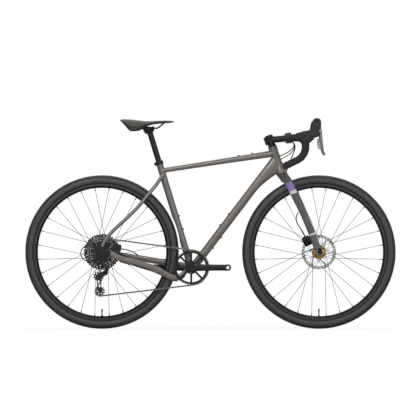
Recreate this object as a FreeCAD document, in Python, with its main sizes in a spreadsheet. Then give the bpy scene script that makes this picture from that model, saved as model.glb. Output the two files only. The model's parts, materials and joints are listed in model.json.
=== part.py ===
import FreeCAD, Part
import math
import os
import Sketcher

# Gravel bike, seen from its drive side with the front wheel to the right.
# X runs forward, Y to the rider's left and Z up. The origin lies on the ground below the middle
# of the wheelbase, so the drive side is at negative Y. All lengths are millimetres.

Vec = FreeCAD.Vector
doc = FreeCAD.newDocument("gravel_bike")
sheet = doc.addObject("Spreadsheet::Sheet", "Sizes")

# The driving dimensions: alias, value.
sizes = {
    # clearances shared by all pieces
    "fit_gap": 0.15,
    "running_gap": 0.1,
    "free_gap": 0.4,
    "cut_overrun": 6.0,
    # frame geometry
    "wheelbase": 1006.0,
    "bottom_bracket_drop": 72.0,
    "chainstay_length": 420.0,
    "seat_angle": 73.0,
    "head_angle": 71.0,
    "fork_rake": 45.0,
    "crown_height": 402.0,
    "head_tube_length": 130.0,
    "seat_tube_length": 515.0,
    "tyre_clearance": 8.0,
    # head tube and headset
    "head_tube_top_radius": 21.0,
    "head_tube_low_radius": 25.0,
    "head_tube_low_collar": 16.0,
    "head_tube_top_collar": 12.0,
    "head_tube_waist_radius": 20.0,
    "head_tube_bore_radius": 17.6,
    "bearing_height": 7.0,
    "steerer_radius": 14.3,
    "headset_cover_height": 7.0,
    "spacer_height": 6.0,
    "spacer_wall": 3.2,
    "top_cap_height": 5.0,
    # top tube, from the seat tube to the head tube
    "top_tube_seat_reach": 470.0,
    "top_tube_head_drop": 32.0,
    "top_tube_seat_height": 23.0,
    "top_tube_seat_width": 30.0,
    "top_tube_head_height": 32.0,
    "top_tube_head_width": 38.0,
    # down tube, straight up from the bottom bracket and deeper where it meets the head tube
    "down_tube_angle": 52.8,
    "down_tube_straight": 462.0,
    "down_tube_length": 653.0,
    "down_tube_drop": 7.0,
    "down_tube_height": 38.5,
    "down_tube_width": 44.0,
    "down_tube_flare_bend": 45.0,
    "down_tube_foot_rise": 6.0,
    "down_tube_foot_back": 17.0,
    "down_tube_head_width": 38.0,
    # seat tube and seatpost
    "seat_tube_radius": 16.0,
    "seatpost_radius": 13.6,
    "seatpost_length": 328.0,
    "seatpost_insertion": 175.0,
    "seat_collar_height": 16.0,
    "seat_collar_wall": 3.4,
    "seat_collar_slot": 3.0,
    "seat_collar_ear": 9.0,
    "seat_collar_bolt_radius": 2.5,
    # bottom bracket
    "shell_radius": 21.5,
    "shell_width": 68.0,
    "shell_bore_radius": 17.5,
    "cup_flange_radius": 22.0,
    "cup_flange_width": 9.0,
    "cup_insert_depth": 12.0,
    "spindle_radius": 12.0,
    # chainstays
    "chainstay_tip_height": 23.0,
    "chainstay_tip_width": 12.0,
    "chainstay_height": 28.5,
    "chainstay_width": 15.0,
    "chainstay_drop": 56.0,
    "chainstay_tip_gap": 15.0,
    "chainstay_belly_y": 34.0,
    # seatstays
    "seatstay_radius": 8.2,
    "seatstay_top_y": 15.0,
    "seatstay_reach": 451.0,
    # dropouts and axles
    "rear_hub_width": 142.0,
    "front_hub_width": 100.0,
    "dropout_thickness": 8.0,
    "dropout_radius": 17.0,
    "dropout_rise": 40.0,
    "dropout_reach": 40.0,
    "axle_radius": 6.0,
    "axle_head_radius": 9.0,
    "axle_head_width": 4.0,
    "hanger_thickness": 6.0,
    "hanger_radius": 10.0,
    "hanger_forward": 6.0,
    "hanger_drop": 29.0,
    "hanger_bolt_radius": 5.0,
    # wheels
    "tyre_diameter": 712.0,
    "tyre_width": 45.0,
    "bead_seat_radius": 311.0,
    "rim_flange_height": 6.0,
    "rim_inner_width": 23.0,
    "rim_outer_width": 28.5,
    "rim_inner_radius": 297.5,
    "rim_spine_width": 10.0,
    "rim_well_depth": 4.0,
    "rim_well_width": 11.0,
    "valve_radius": 2.8,
    "valve_length": 36.0,
    "valve_nut_radius": 5.5,
    "valve_nut_height": 3.0,
    "valve_cap_radius": 3.6,
    "valve_cap_length": 15.0,
    # spokes, hooked through the flanges
    "spoke_count": 28,
    "spoke_radius": 1.0,
    "spoke_cross_angle": 77.0,
    "spoke_hole_radius": 1.3,
    "spoke_lift": 1.8,
    "spoke_head_radius": 2.0,
    "spoke_head_height": 1.2,
    "nipple_radius": 2.1,
    "nipple_length": 13.0,
    "nipple_depth": 2.5,
    "nipple_hole_radius": 3.6,
    # hubs
    "flange_circle_radius": 27.5,
    "flange_radius": 31.5,
    "flange_width": 3.4,
    "hub_barrel_radius": 14.0,
    "hub_end_radius": 10.0,
    "hub_end_step": 9.0,
    "front_flange_right_y": 34.0,
    "front_flange_left_y": 23.0,
    "rear_flange_right_y": 20.0,
    "rear_flange_left_y": 36.0,
    "rotor_seat_radius": 17.5,
    "rotor_seat_width": 9.0,
    "front_rotor_inset": 10.5,
    "rear_rotor_inset": 15.5,
    # brake rotors
    "rotor_diameter": 160.0,
    "rotor_thickness": 1.8,
    "rotor_track_width": 14.0,
    "rotor_carrier_radius": 27.0,
    "rotor_arm_count": 6,
    "rotor_arm_width": 6.5,
    "rotor_arm_lean": 30.0,
    "rotor_slot_count": 30,
    "rotor_slot_radius": 2.3,
    # brake calipers
    "caliper_length": 46.0,
    "caliper_height": 34.0,
    "caliper_width": 28.0,
    "caliper_slot": 4.4,
    "front_caliper_reach": 70.0,
    "rear_caliper_reach": 62.0,
    "caliper_bolt_radius": 2.6,
    "caliper_bolt_head_radius": 4.4,
    "caliper_piston_radius": 11.0,
    "caliper_piston_height": 3.0,
    # chain
    "chain_pitch": 12.7,
    "roller_radius": 3.85,
    "roller_play": 0.12,
    "chain_inner_gap": 2.3,
    "chain_inner_plate": 0.75,
    "chain_plate_play": 0.1,
    "chain_outer_plate": 0.8,
    "chain_plate_radius": 4.2,
    "chain_waist_radius": 3.0,
    "chain_pin_radius": 1.7,
    "chain_pin_play": 0.08,
    # chainring, cassette and pulleys
    "ring_teeth": 40,
    "pulley_teeth": 11,
    "tooth_tip_height": 2.0,
    "chain_line": 45.0,
    "ring_thickness": 1.5,
    "ring_web_thickness": 3.2,
    "ring_rim_radius": 67.7,
    "ring_arm_count": 8,
    "ring_arm_width": 9.6,
    "ring_hub_radius": 30.0,
    "ring_bore_radius": 14.0,
    "ring_bolt_circle_radius": 20.0,
    "ring_bolt_radius": 3.0,
    "cassette_pitch": 3.74,
    "cassette_inset": 5.2,
    "cog_thickness": 1.6,
    "cog_rim_width": 9.0,
    "cog_arm_width": 7.0,
    "cog_hub_width": 5.0,
    "freehub_radius": 17.0,
    "lockring_radius": 15.5,
    "lockring_width": 2.4,
    "pulley_thickness": 1.6,
    "pulley_hub_radius": 7.0,
    "pulley_hub_width": 6.6,
    "pulley_bore_radius": 3.0,
    # crankset
    "crank_length": 170.0,
    "crank_eye_radius": 15.5,
    "crank_eye_thickness": 13.0,
    "crank_face_y": 75.0,
    "crank_arm_height": 30.0,
    "crank_arm_thickness": 14.0,
    "crank_boss_radius": 19.0,
    "crank_boss_thickness": 17.0,
    "crank_boss_y": 66.0,
    "pedal_hole_radius": 7.14,
    "crank_cap_radius": 9.0,
    "crank_cap_depth": 2.0,
    # rear derailleur
    "cage_pivot_forward": 16.0,
    "cage_pivot_drop": 96.0,
    "guide_back": 32.4,
    "guide_down": 19.0,
    "tension_back": 18.5,
    "tension_down": 87.0,
    "cage_half_gap": 4.3,
    "cage_plate": 2.0,
    "cage_lobe_radius": 10.5,
    "cage_foot_radius": 9.5,
    "cage_pivot_radius": 12.0,
    "cage_pin_radius": 4.0,
    "knuckle_radius": 12.0,
    "knuckle_width": 13.0,
    "link_length": 48.0,
    "link_spacing": 15.0,
    "link_half_width": 5.0,
    "link_thickness": 12.0,
    "link_pin_radius": 2.6,
    "lug_thickness": 5.0,
    "lug_radius": 6.5,
    "link_forward": 14.0,
    "link_up": 22.0,
    "link_outboard": 31.0,
    "link_slope_angle": 36.0,
    "link_toe_angle": 12.0,
    "link_slant_angle": 17.0,
    "hanger_boss_radius": 11.5,
    "hanger_boss_width": 13.0,
    "knuckle_arm_radius": 6.3,
    "knuckle_arm_back": 22.0,
    "knuckle_arm_drop": 25.0,
    "cage_window_radius": 4.6,
    "cage_window_half": 17.0,
    "pulley_window_radius": 2.8,
    "pulley_window_circle": 12.6,
    # fork
    "fork_crown_drop": 44.0,
    "fork_crown_width": 94.0,
    "fork_crown_length": 46.0,
    "fork_neck_radius": 24.0,
    "fork_leg_top_forward": 12.0,
    "fork_leg_top_y": 40.0,
    "fork_leg_top_length": 38.0,
    "fork_leg_top_width": 20.0,
    "fork_leg_mid_length": 32.0,
    "fork_leg_mid_width": 17.0,
    "fork_leg_low_length": 33.0,
    "fork_leg_low_width": 13.0,
    "fork_leg_bow": 8.0,
    "fork_tip_radius": 18.0,
    # stem
    "stem_length": 86.0,
    "stem_drop_angle": 12.7,
    "stem_clamp_height": 38.0,
    "stem_clamp_radius": 18.5,
    "stem_neck_height": 31.0,
    "stem_neck_width": 32.0,
    "stem_face_radius": 21.0,
    "stem_face_width": 44.0,
    "stem_face_gap": 2.0,
    "stem_bolt_radius": 2.5,
    "stem_bolt_head_radius": 4.2,
    "stem_bolt_head_height": 4.0,
    "stem_bolt_inset": 6.5,
    # handlebar and tape
    "bar_radius": 11.9,
    "bar_clamp_radius": 15.9,
    "bar_clamp_half": 34.0,
    "bar_taper": 24.0,
    "bar_width": 420.0,
    "bar_flare": 18.0,
    "bar_reach": 79.0,
    "bar_ramp_rise": 3.0,
    "bar_knee_drop": 84.0,
    "bar_end_back": 23.0,
    "bar_drop": 133.5,
    "bar_corner_radius": 42.0,
    "bar_front_radius": 36.0,
    "bar_knee_radius": 70.0,
    "tape_radius": 15.6,
    "tape_start_y": 64.0,
    "plug_length": 5.0,
    # levers
    "hood_back": 21.0,
    "hood_low": 24.5,
    "hood_reach": 94.0,
    "hood_rise": 116.0,
    "hood_half_width": 17.0,
    "lever_pivot_forward": 67.0,
    "lever_pivot_rise": 33.5,
    "lever_length": 114.0,
    "lever_thickness": 10.0,
    "lever_eye_radius": 8.0,
    "lever_pin_radius": 2.5,
    "lever_round": 2.4,
    "lever_slot_back": 12.0,
    "lever_slot_reach": 46.0,
    "lever_slot_drop": 60.0,
    "paddle_back": 8.0,
    "paddle_drop": 46.0,
    "paddle_pin_radius": 2.0,
    "paddle_barrel_radius": 4.4,
    "paddle_barrel_length": 12.0,
    "paddle_length": 42.0,
    "paddle_width": 15.0,
    "paddle_lug_length": 3.5,
    "paddle_thickness": 2.6,
    # saddle
    "saddle_length": 250.0,
    "saddle_width": 142.0,
    "saddle_depth": 56.0,
    "saddle_rise": 41.0,
    "saddle_setback": 133.0,
    "rail_radius": 3.5,
    "rail_spread": 22.0,
    "rail_rear_spread": 30.0,
    "rail_nose_spread": 9.0,
    "rail_flat": 84.0,
    "rail_rear_run": 43.0,
    "rail_rear_rise": 14.0,
    "rail_nose_run": 30.0,
    "rail_nose_rise": 24.0,
    "post_head_length": 56.0,
    "post_head_width": 58.0,
    "post_head_height": 26.0,
    "post_head_rise": 8.0,
    "clamp_plate_height": 7.0,
    "clamp_bolt_radius": 2.5,
    "clamp_bolt_head_radius": 4.5,
    "clamp_bolt_inset": 7.0,
    # control lines
    "hose_radius": 2.5,
    "housing_radius": 2.2,
    # bolts in the frame's threaded bosses
    "boss_bolt_radius": 4.0,
    "boss_bolt_height": 3.0,
    "boss_collar_radius": 5.2,
    "boss_collar_height": 1.2,
    "bottle_spacing": 64.0,
    "seat_bottle_reach": 182.0,
    "down_bottle_reach": 238.0,
    "down_low_bottle_reach": 133.0,
    "top_bag_reach": 364.0,
}

for row, (alias, number) in enumerate(sizes.items(), 1):
    sheet.set("A%d" % row, alias)
    sheet.set("B%d" % row, str(number))
    sheet.setAlias("B%d" % row, alias)
doc.recompute()


def words(term):
    return term.text if isinstance(term, Size) else repr(float(term))


class Size(float):
    # A number that remembers the sheet expression it stands for.

    def __new__(cls, number, text):
        made = float.__new__(cls, number)
        made.text = text
        return made

    def __add__(self, other):
        return Size(float(self) + float(other), "(%s + %s)" % (self.text, words(other)))

    def __radd__(self, other):
        return Size(float(other) + float(self), "(%s + %s)" % (words(other), self.text))

    def __sub__(self, other):
        return Size(float(self) - float(other), "(%s - %s)" % (self.text, words(other)))

    def __rsub__(self, other):
        return Size(float(other) - float(self), "(%s - %s)" % (words(other), self.text))

    def __mul__(self, other):
        return Size(float(self) * float(other), "(%s * %s)" % (self.text, words(other)))

    def __rmul__(self, other):
        return Size(float(other) * float(self), "(%s * %s)" % (words(other), self.text))

    def __truediv__(self, other):
        return Size(float(self) / float(other), "(%s / %s)" % (self.text, words(other)))

    def __neg__(self):
        return Size(-float(self), "(0 - %s)" % self.text)


def root(term):
    return Size(math.sqrt(float(term)), "sqrt(%s)" % words(term))


class SizeTable:
    pass


S = SizeTable()
for alias in sizes:
    setattr(S, alias, Size(float(sheet.get(alias)), "Sizes.%s" % alias))

nodes = []
half = 0.5
right_side = -1
left_side = 1
full_turn = 360.0
axis_x = Vec(1, 0, 0)
axis_y = Vec(0, 1, 0)
axis_z = Vec(0, 0, 1)


# Helpers for document objects

def keep(thing):
    nodes.append(thing)
    return thing


def origin_of(body, role):
    for feature in body.Origin.OriginFeatures:
        if feature.Role == role:
            return feature


def arc_middle(start, end, radius, side):
    chord = end - start
    across = Vec(-chord.y, chord.x, 0)
    across.normalize()
    reach = math.sqrt(max(radius ** 2 - (chord.Length * half) ** 2, 0))
    return (start + end) * half + across * (side * (radius - reach))


def pin_down(sketch, kind, edge, spot, number):
    if float(number) == 0:
        line = -2 if kind == "DistanceX" else -1
        sketch.addConstraint(Sketcher.Constraint("PointOnObject", edge, spot, line))
        return
    index = sketch.addConstraint(Sketcher.Constraint(kind, -1, 1, edge, spot, float(number)))
    if isinstance(number, Size):
        sketch.setExpression("Constraints[%d]" % index, number.text)


def draw(body, name, corners, circles=(), plane="XY_Plane"):
    # Each corner is (x, y), or (x, y, radius, side) where the edge that leaves it is an arc.
    sketch = body.newObject("Sketcher::SketchObject", name)
    sketch.AttachmentSupport = [(origin_of(body, plane), "")]
    sketch.MapMode = "FlatFace"
    count = len(corners)
    spots = [Vec(corner[0], corner[1], 0) for corner in corners]
    starts = []
    ends = []
    for index, corner in enumerate(corners):
        start = spots[index]
        end = spots[(index + 1) % count]
        if len(corner) > 2:
            sketch.addGeometry(Part.Arc(start, arc_middle(start, end, corner[2], corner[3]), end))
        else:
            sketch.addGeometry(Part.LineSegment(start, end))
        first = sketch.getPoint(index, 1)
        forward = (first - start).Length < (first - end).Length
        starts.append(1 if forward else 2)
        ends.append(2 if forward else 1)
    for index in range(count):
        after = (index + 1) % count
        sketch.addConstraint(Sketcher.Constraint("Coincident", index, ends[index], after, starts[after]))
    for index, corner in enumerate(corners):
        pin_down(sketch, "DistanceX", index, starts[index], corner[0])
        pin_down(sketch, "DistanceY", index, starts[index], corner[1])
        if len(corner) > 2:
            place = sketch.addConstraint(Sketcher.Constraint("Radius", index, float(corner[2])))
            sketch.setExpression("Constraints[%d]" % place, corner[2].text)
    for x, y, radius in circles:
        ring = sketch.addGeometry(Part.Circle(Vec(x, y, 0), axis_z, radius))
        pin_down(sketch, "DistanceX", ring, 3, x)
        pin_down(sketch, "DistanceY", ring, 3, y)
        place = sketch.addConstraint(Sketcher.Constraint("Radius", ring, float(radius)))
        sketch.setExpression("Constraints[%d]" % place, radius.text)
    return sketch


def turned(label, corners, placement):
    # A body of revolution about its own Y axis; corners are (radius, along the axis).
    body = doc.addObject("PartDesign::Body", label)
    body.Label = label
    sketch = draw(body, label + "_profile", corners)
    spin = body.newObject("PartDesign::Revolution", label + "_turn")
    spin.Profile = sketch
    spin.ReferenceAxis = (sketch, ["V_Axis"])
    spin.Angle = full_turn
    body.Placement = placement
    doc.recompute()
    return body


def padded(label, corners, thickness, placement, circles=()):
    # A plate drawn in its own XY plane, half its thickness to each side.
    body = doc.addObject("PartDesign::Body", label)
    body.Label = label
    sketch = draw(body, label + "_outline", corners, circles)
    pad = body.newObject("PartDesign::Pad", label + "_pad")
    pad.Profile = sketch
    pad.SideType = "Symmetric"
    pad.setExpression("Length", thickness.text)
    body.Placement = placement
    doc.recompute()
    return body


def softened(body, radius):
    # Round every edge of a padded plate's two faces.
    pad = body.Tip
    names = []
    for index, edge in enumerate(pad.Shape.Edges, 1):
        box = edge.BoundBox
        if box.ZLength < S.fit_gap:
            names.append("Edge%d" % index)
    fillet = body.newObject("PartDesign::Fillet", body.Label + "_round")
    fillet.Base = (pad, names)
    fillet.setExpression("Radius", radius.text)
    doc.recompute()
    return body


def group(label, things):
    bunch = doc.addObject("Part::Compound", label)
    bunch.Label = label
    bunch.Links = things
    doc.recompute()
    return bunch


def feature(label, shape):
    thing = doc.addObject("Part::Feature", label)
    thing.Label = label
    thing.Shape = shape
    return thing


def cylinder(label, radius, height, placement):
    thing = doc.addObject("Part::Cylinder", label)
    thing.Label = label
    thing.setExpression("Radius", radius.text)
    thing.setExpression("Height", height.text)
    thing.Placement = placement
    doc.recompute()
    return thing


def less(label, base, tool):
    thing = doc.addObject("Part::Cut", label)
    thing.Label = label
    thing.Base = base
    thing.Tool = tool
    doc.recompute()
    return thing


# Helpers for shapes

def at(spot, direction=axis_y):
    # Local Y along the given direction.
    return FreeCAD.Placement(spot, FreeCAD.Rotation(axis_y, direction))


def facing(spot, spin=0):
    # Local X forward, local Y up and local Z out to the drive side, turned about local Z.
    turn = FreeCAD.Rotation(axis_x, 90).multiply(FreeCAD.Rotation(axis_z, spin))
    return FreeCAD.Placement(spot, turn)


def rod(start, end, radius):
    return Part.makeCylinder(radius, (end - start).Length, start, end - start)


def rounded(points, bends=None):
    # Straight runs joined by tangent arcs, each as large as its runs allow unless a bend is given.
    share = 0.45
    edges = []
    radii = []
    last = points[0]
    for index in range(1, len(points) - 1):
        spot = points[index]
        back = points[index - 1] - spot
        ahead = points[index + 1] - spot
        run = min(back.Length, ahead.Length)
        back.normalize()
        ahead.normalize()
        turn = math.pi - back.getAngle(ahead)
        slope = math.tan(turn * half)
        reach = bends[index - 1] * slope if bends else share * run
        radius = reach / slope
        radii.append(radius)
        first = spot + back * reach
        second = spot + ahead * reach
        inward = back + ahead
        inward.normalize()
        crest = spot + inward * (radius / math.cos(turn * half) - radius)
        if (first - last).Length > S.fit_gap:
            edges.append(Part.LineSegment(last, first).toShape())
        else:
            first = last
        edges.append(Part.Arc(first, crest, second).toShape())
        last = second
    edges.append(Part.LineSegment(last, points[-1]).toShape())
    return Part.Wire(edges), radii


def pipe(wire, radius):
    edge = wire.Edges[0]
    start = edge.valueAt(edge.FirstParameter)
    along = edge.tangentAt(edge.FirstParameter)
    ring = Part.Wire([Part.makeCircle(radius, start, along)])
    return wire.makePipeShell([ring], True, False)


section_points = 12
round_power = 2.0


def section(centre, along, up, half_height, half_width, power=round_power):
    # A closed oval across the given direction; a higher power squares its corners.
    along = Vec(along)
    along.normalize()
    side = up.cross(along)
    side.normalize()
    top = along.cross(side)
    spots = []
    for index in range(section_points):
        angle = 2 * math.pi * index / section_points
        a = math.cos(angle)
        b = math.sin(angle)
        x = math.copysign(abs(a) ** (round_power / power), a)
        y = math.copysign(abs(b) ** (round_power / power), b)
        spots.append(centre + side * (x * half_width) + top * (y * half_height))
    curve = Part.BSplineCurve()
    curve.interpolate(Points=spots, PeriodicFlag=True)
    return Part.Wire([curve.toShape()])


def between(first, last, share):
    return first + (last - first) * share


def loft(sections, ruled=False):
    return Part.makeLoft(sections, True, ruled)


def along_path(points, heights, widths, up, power=round_power):
    # A tube of changing oval section through the points.
    sections = []
    last = len(points) - 1
    for index, spot in enumerate(points):
        ahead = points[min(index + 1, last)] - points[max(index - 1, 0)]
        sections.append(section(spot, ahead, up, heights[index] * half, widths[index] * half, power))
    return loft(sections)


def turned_shape(corners, spot, direction):
    # The same as turned(), for repeated small pieces.
    points = [Vec(radius, along, 0) for radius, along in corners]
    face = Part.Face(Part.makePolygon(points + [points[0]]))
    shape = face.revolve(Vec(0, 0, 0), axis_y, full_turn)
    shape.Placement = at(spot, direction)
    return shape


def mirrored(shape):
    return shape.mirror(Vec(0, 0, 0), axis_y)


def solid_of(shape):
    solids = shape.Solids
    return solids[0] if len(solids) == 1 else Part.makeCompound(solids)


def cosine(angle):
    return math.cos(math.radians(angle))


def sine(angle):
    return math.sin(math.radians(angle))


def swing(x, z, angle):
    # Turn a side-view offset, seen from the drive side, anticlockwise.
    c = cosine(angle)
    s = sine(angle)
    return Vec(x * c - z * s, 0, x * s + z * c)


# The bike's skeleton, in the middle plane

wheel_radius = S.tyre_diameter * half
rear_axle_spot = Vec(-S.wheelbase * half, 0, wheel_radius)
front_axle_spot = Vec(S.wheelbase * half, 0, wheel_radius)
shell_run = math.sqrt(S.chainstay_length ** 2 - S.bottom_bracket_drop ** 2)
shell_spot = rear_axle_spot + Vec(shell_run, 0, -S.bottom_bracket_drop)
seat_up = Vec(-cosine(S.seat_angle), 0, sine(S.seat_angle))
seat_forward = Vec(sine(S.seat_angle), 0, cosine(S.seat_angle))
head_up = Vec(-cosine(S.head_angle), 0, sine(S.head_angle))
head_forward = Vec(sine(S.head_angle), 0, cosine(S.head_angle))
fork_foot = front_axle_spot - head_forward * S.fork_rake
head_low = fork_foot + head_up * S.crown_height
head_high = head_low + head_up * S.head_tube_length
seat_top = shell_spot + seat_up * S.seat_tube_length
rear_inner_y = S.rear_hub_width * half
front_inner_y = S.front_hub_width * half

# Head tube: a short collar at each end and a slimmer waist.

head_outer = [
    (S.head_tube_low_radius, 0),
    (S.head_tube_low_radius, S.head_tube_low_collar),
    (S.head_tube_waist_radius + S.bearing_height * half * half, S.head_tube_low_collar * 2),
    (S.head_tube_waist_radius, S.head_tube_length * half),
    (S.head_tube_waist_radius, S.head_tube_length - S.head_tube_top_collar * 2),
    (S.head_tube_top_radius, S.head_tube_length - S.head_tube_top_collar),
    (S.head_tube_top_radius, S.head_tube_length),
]
head_bore = [(S.head_tube_bore_radius, S.head_tube_length), (S.head_tube_bore_radius, 0)]
head_tube = turned("head_tube", head_outer + head_bore, at(head_low, head_up))
keep(head_tube)

ring_inner = S.steerer_radius + S.running_gap
ring_outer = S.head_tube_bore_radius - S.fit_gap
bearing_corners = [
    (ring_inner, 0),
    (ring_outer, 0),
    (ring_outer, S.bearing_height),
    (ring_inner, S.bearing_height),
]
bearing_low = turned("headset_bearing_low", bearing_corners, at(head_low, head_up))
bearing_spot = head_high - head_up * S.bearing_height
bearing_high = turned("headset_bearing_high", bearing_corners, at(bearing_spot, head_up))
keep(group("headset_bearings", [bearing_low, bearing_high]))

# Bottom bracket shell, open at both ends, and the two screwed-in cups.

half_shell = S.shell_width * half
bottom_bracket_shell = turned("bottom_bracket_shell", [
    (S.shell_bore_radius, -half_shell),
    (S.shell_radius, -half_shell),
    (S.shell_radius, half_shell),
    (S.shell_bore_radius, half_shell),
], at(shell_spot))
keep(bottom_bracket_shell)

cup_bore = S.spindle_radius + S.running_gap
cup_thread = S.shell_bore_radius - S.fit_gap
cup_out = half_shell + S.fit_gap
cups = []
for side, name in ((axis_y, "left"), (-axis_y, "right")):
    cups.append(turned("bottom_bracket_cup_" + name, [
        (cup_bore, half_shell - S.cup_insert_depth),
        (cup_thread, half_shell - S.cup_insert_depth),
        (cup_thread, cup_out),
        (S.cup_flange_radius, cup_out),
        (S.cup_flange_radius, half_shell + S.cup_flange_width * half),
        (S.cup_flange_radius - S.cup_flange_width * half * half, half_shell + S.cup_flange_width),
        (cup_bore, half_shell + S.cup_flange_width),
    ], at(shell_spot, side)))
keep(group("bottom_bracket_cups", cups))

# Seat tube: a round tube cut by the shell, bored for the post and scooped at the back for the tyre.

seat_blank = cylinder("seat_tube_blank", S.seat_tube_radius, S.seat_tube_length,
                      FreeCAD.Placement(shell_spot, FreeCAD.Rotation(axis_z, seat_up)))
bore_depth = S.seatpost_insertion * 1.6
bore_spot = seat_top - seat_up * bore_depth
seat_bore = cylinder("seat_tube_bore", S.seatpost_radius + S.fit_gap, bore_depth + S.cut_overrun,
                     FreeCAD.Placement(bore_spot, FreeCAD.Rotation(axis_z, seat_up)))
relief_radius = wheel_radius + S.tyre_clearance
relief_spot = rear_axle_spot - axis_y * S.rear_hub_width * half
tyre_relief = cylinder("seat_tube_relief", relief_radius, S.rear_hub_width,
                       FreeCAD.Placement(relief_spot, FreeCAD.Rotation(axis_z, axis_y)))
shell_plug = cylinder("shell_plug", S.shell_radius, S.shell_width + S.cut_overrun,
                      FreeCAD.Placement(shell_spot - axis_y * (S.shell_width + S.cut_overrun) * half,
                                        FreeCAD.Rotation(axis_z, axis_y)))
seat_bored = less("seat_tube_bored", seat_blank, seat_bore)
seat_scooped = less("seat_tube_scooped", seat_bored, tyre_relief)
seat_tube = less("seat_tube", seat_scooped, shell_plug)
keep(seat_tube)
seat_core = rod(shell_spot, seat_top, S.seat_tube_radius)
shell_core = shell_plug.Shape.copy()

# Top tube: a flattened oval that grows towards the head tube and is mitred to both tubes.

head_axis = [(0, S.head_tube_length), (0, 0)]
head_core = turned_shape(head_outer + head_axis, head_low, head_up)

top_start = shell_spot + seat_up * S.top_tube_seat_reach
top_end = head_high - head_up * S.top_tube_head_drop
top_along = top_end - top_start
top_length = top_along.Length
top_shares = (0.0, 0.35, 0.7, 1.0)
top_growth_shares = (0.0, 0.12, 0.5, 1.0)
top_heights = []
top_widths = []
top_points = []
for where, growth in zip(top_shares, top_growth_shares):
    top_points.append(top_start + top_along * where)
    top_heights.append(S.top_tube_seat_height + (S.top_tube_head_height - S.top_tube_seat_height) * growth)
    top_widths.append(S.top_tube_seat_width + (S.top_tube_head_width - S.top_tube_seat_width) * growth)
tube_power = 2.5
top_blank = along_path(top_points, top_heights, top_widths, axis_z, tube_power)
top_along.normalize()
top_up = axis_y.cross(top_along) * -1

# Down tube: its upper edge runs straight into the head tube, and its lower edge flares to that tube's foot.

down_along = Vec(cosine(S.down_tube_angle), 0, sine(S.down_tube_angle))
down_up = Vec(-down_along.z, 0, down_along.x)
down_start = shell_spot - down_up * S.down_tube_drop
down_rise = down_up * (S.down_tube_height * half)
flare_start = down_start - down_rise + down_along * S.down_tube_straight
flare_bend = flare_start + down_along * S.down_tube_flare_bend
flare_end = head_low + head_up * S.down_tube_foot_rise - head_forward * S.down_tube_foot_back
flare_count = 6
down_sections = [
    section(down_start, down_along, down_up, S.down_tube_height * half, S.down_tube_width * half, tube_power),
]
for index in range(flare_count + 1):
    where = index / flare_count
    upper = down_start + down_rise + down_along * between(S.down_tube_straight, S.down_tube_length, where)
    lower = between(between(flare_start, flare_bend, where), between(flare_bend, flare_end, where), where)
    chord = upper - lower
    across = Vec(chord.z, 0, -chord.x)
    wide = between(S.down_tube_width, S.down_tube_head_width, where)
    down_sections.append(section((upper + lower) * half, across, chord, chord.Length * half, wide * half, tube_power))
down_blank = loft(down_sections, True)
top_shape = top_blank.cut(head_core).cut(seat_core)
top_tube = keep(feature("top_tube", solid_of(top_shape)))
crown_room = rod(head_low - head_up * S.fork_crown_drop, head_low, S.fork_crown_length * half + S.free_gap * 2)
down_shape = down_blank.cut(head_core).cut(shell_core).cut(seat_core).cut(top_blank).cut(crown_room)
down_solids = sorted(down_shape.Solids, key=lambda solid: solid.Volume)
down_tube = keep(feature("down_tube", down_solids[-1]))

# Dropouts: a plate each side whose arms carry the two stays, with the axle's hole.

dropout_shares = ((-0.42, -0.3), (0.0, -0.45), (0.5, -0.42), (1.0, -0.45), (1.0, 0.12), (0.52, 0.28),
                  (0.28, 0.55), (0.30, 1.0), (-0.22, 1.0), (-0.38, 0.4))
dropout_corners = [(x * S.dropout_reach, z * S.dropout_rise) for x, z in dropout_shares]
axle_hole = S.axle_radius + S.fit_gap
plates = []
for side, name in ((right_side, "right"), (left_side, "left")):
    plate_y = side * (rear_inner_y + S.dropout_thickness * half)
    plates.append(padded("dropout_" + name, dropout_corners, S.dropout_thickness,
                         facing(rear_axle_spot + axis_y * plate_y), [(0, 0, axle_hole)]))
hanger_y = -(rear_inner_y + S.dropout_thickness + S.hanger_thickness * half + S.fit_gap)
hanger_shares = ((-1.0, -1.0), (0.2, -1.5), (1.3, -1.1), (1.5, 0.0), (1.3, 2.0), (-0.9, 2.0), (-1.1, 0.0))
hanger_corners = []
for x, z in hanger_shares:
    hanger_corners.append((S.hanger_forward + S.hanger_radius * x * half, S.hanger_radius * z - S.hanger_drop))
hanger = padded("derailleur_hanger", hanger_corners, S.hanger_thickness,
                facing(rear_axle_spot + axis_y * hanger_y),
                [(S.hanger_forward, -S.hanger_drop, S.hanger_bolt_radius * half + S.fit_gap)])
keep(group("dropouts", plates + [hanger]))
plate_core = Part.makeCompound([plate.Shape for plate in plates])

# Rear thru-axle: a shaft with a flat head on the left.

axle_out = rear_inner_y + S.dropout_thickness
rear_axle = turned("rear_axle", [
    (0, -axle_out),
    (S.axle_radius, -axle_out),
    (S.axle_radius, axle_out + S.fit_gap),
    (S.axle_head_radius, axle_out + S.fit_gap),
    (S.axle_head_radius, axle_out + S.axle_head_width),
    (0, axle_out + S.axle_head_width),
], at(rear_axle_spot))
keep(rear_axle)

# Left chainstay: straight from the dropout to the shell, narrowing past the tyre.

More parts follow.
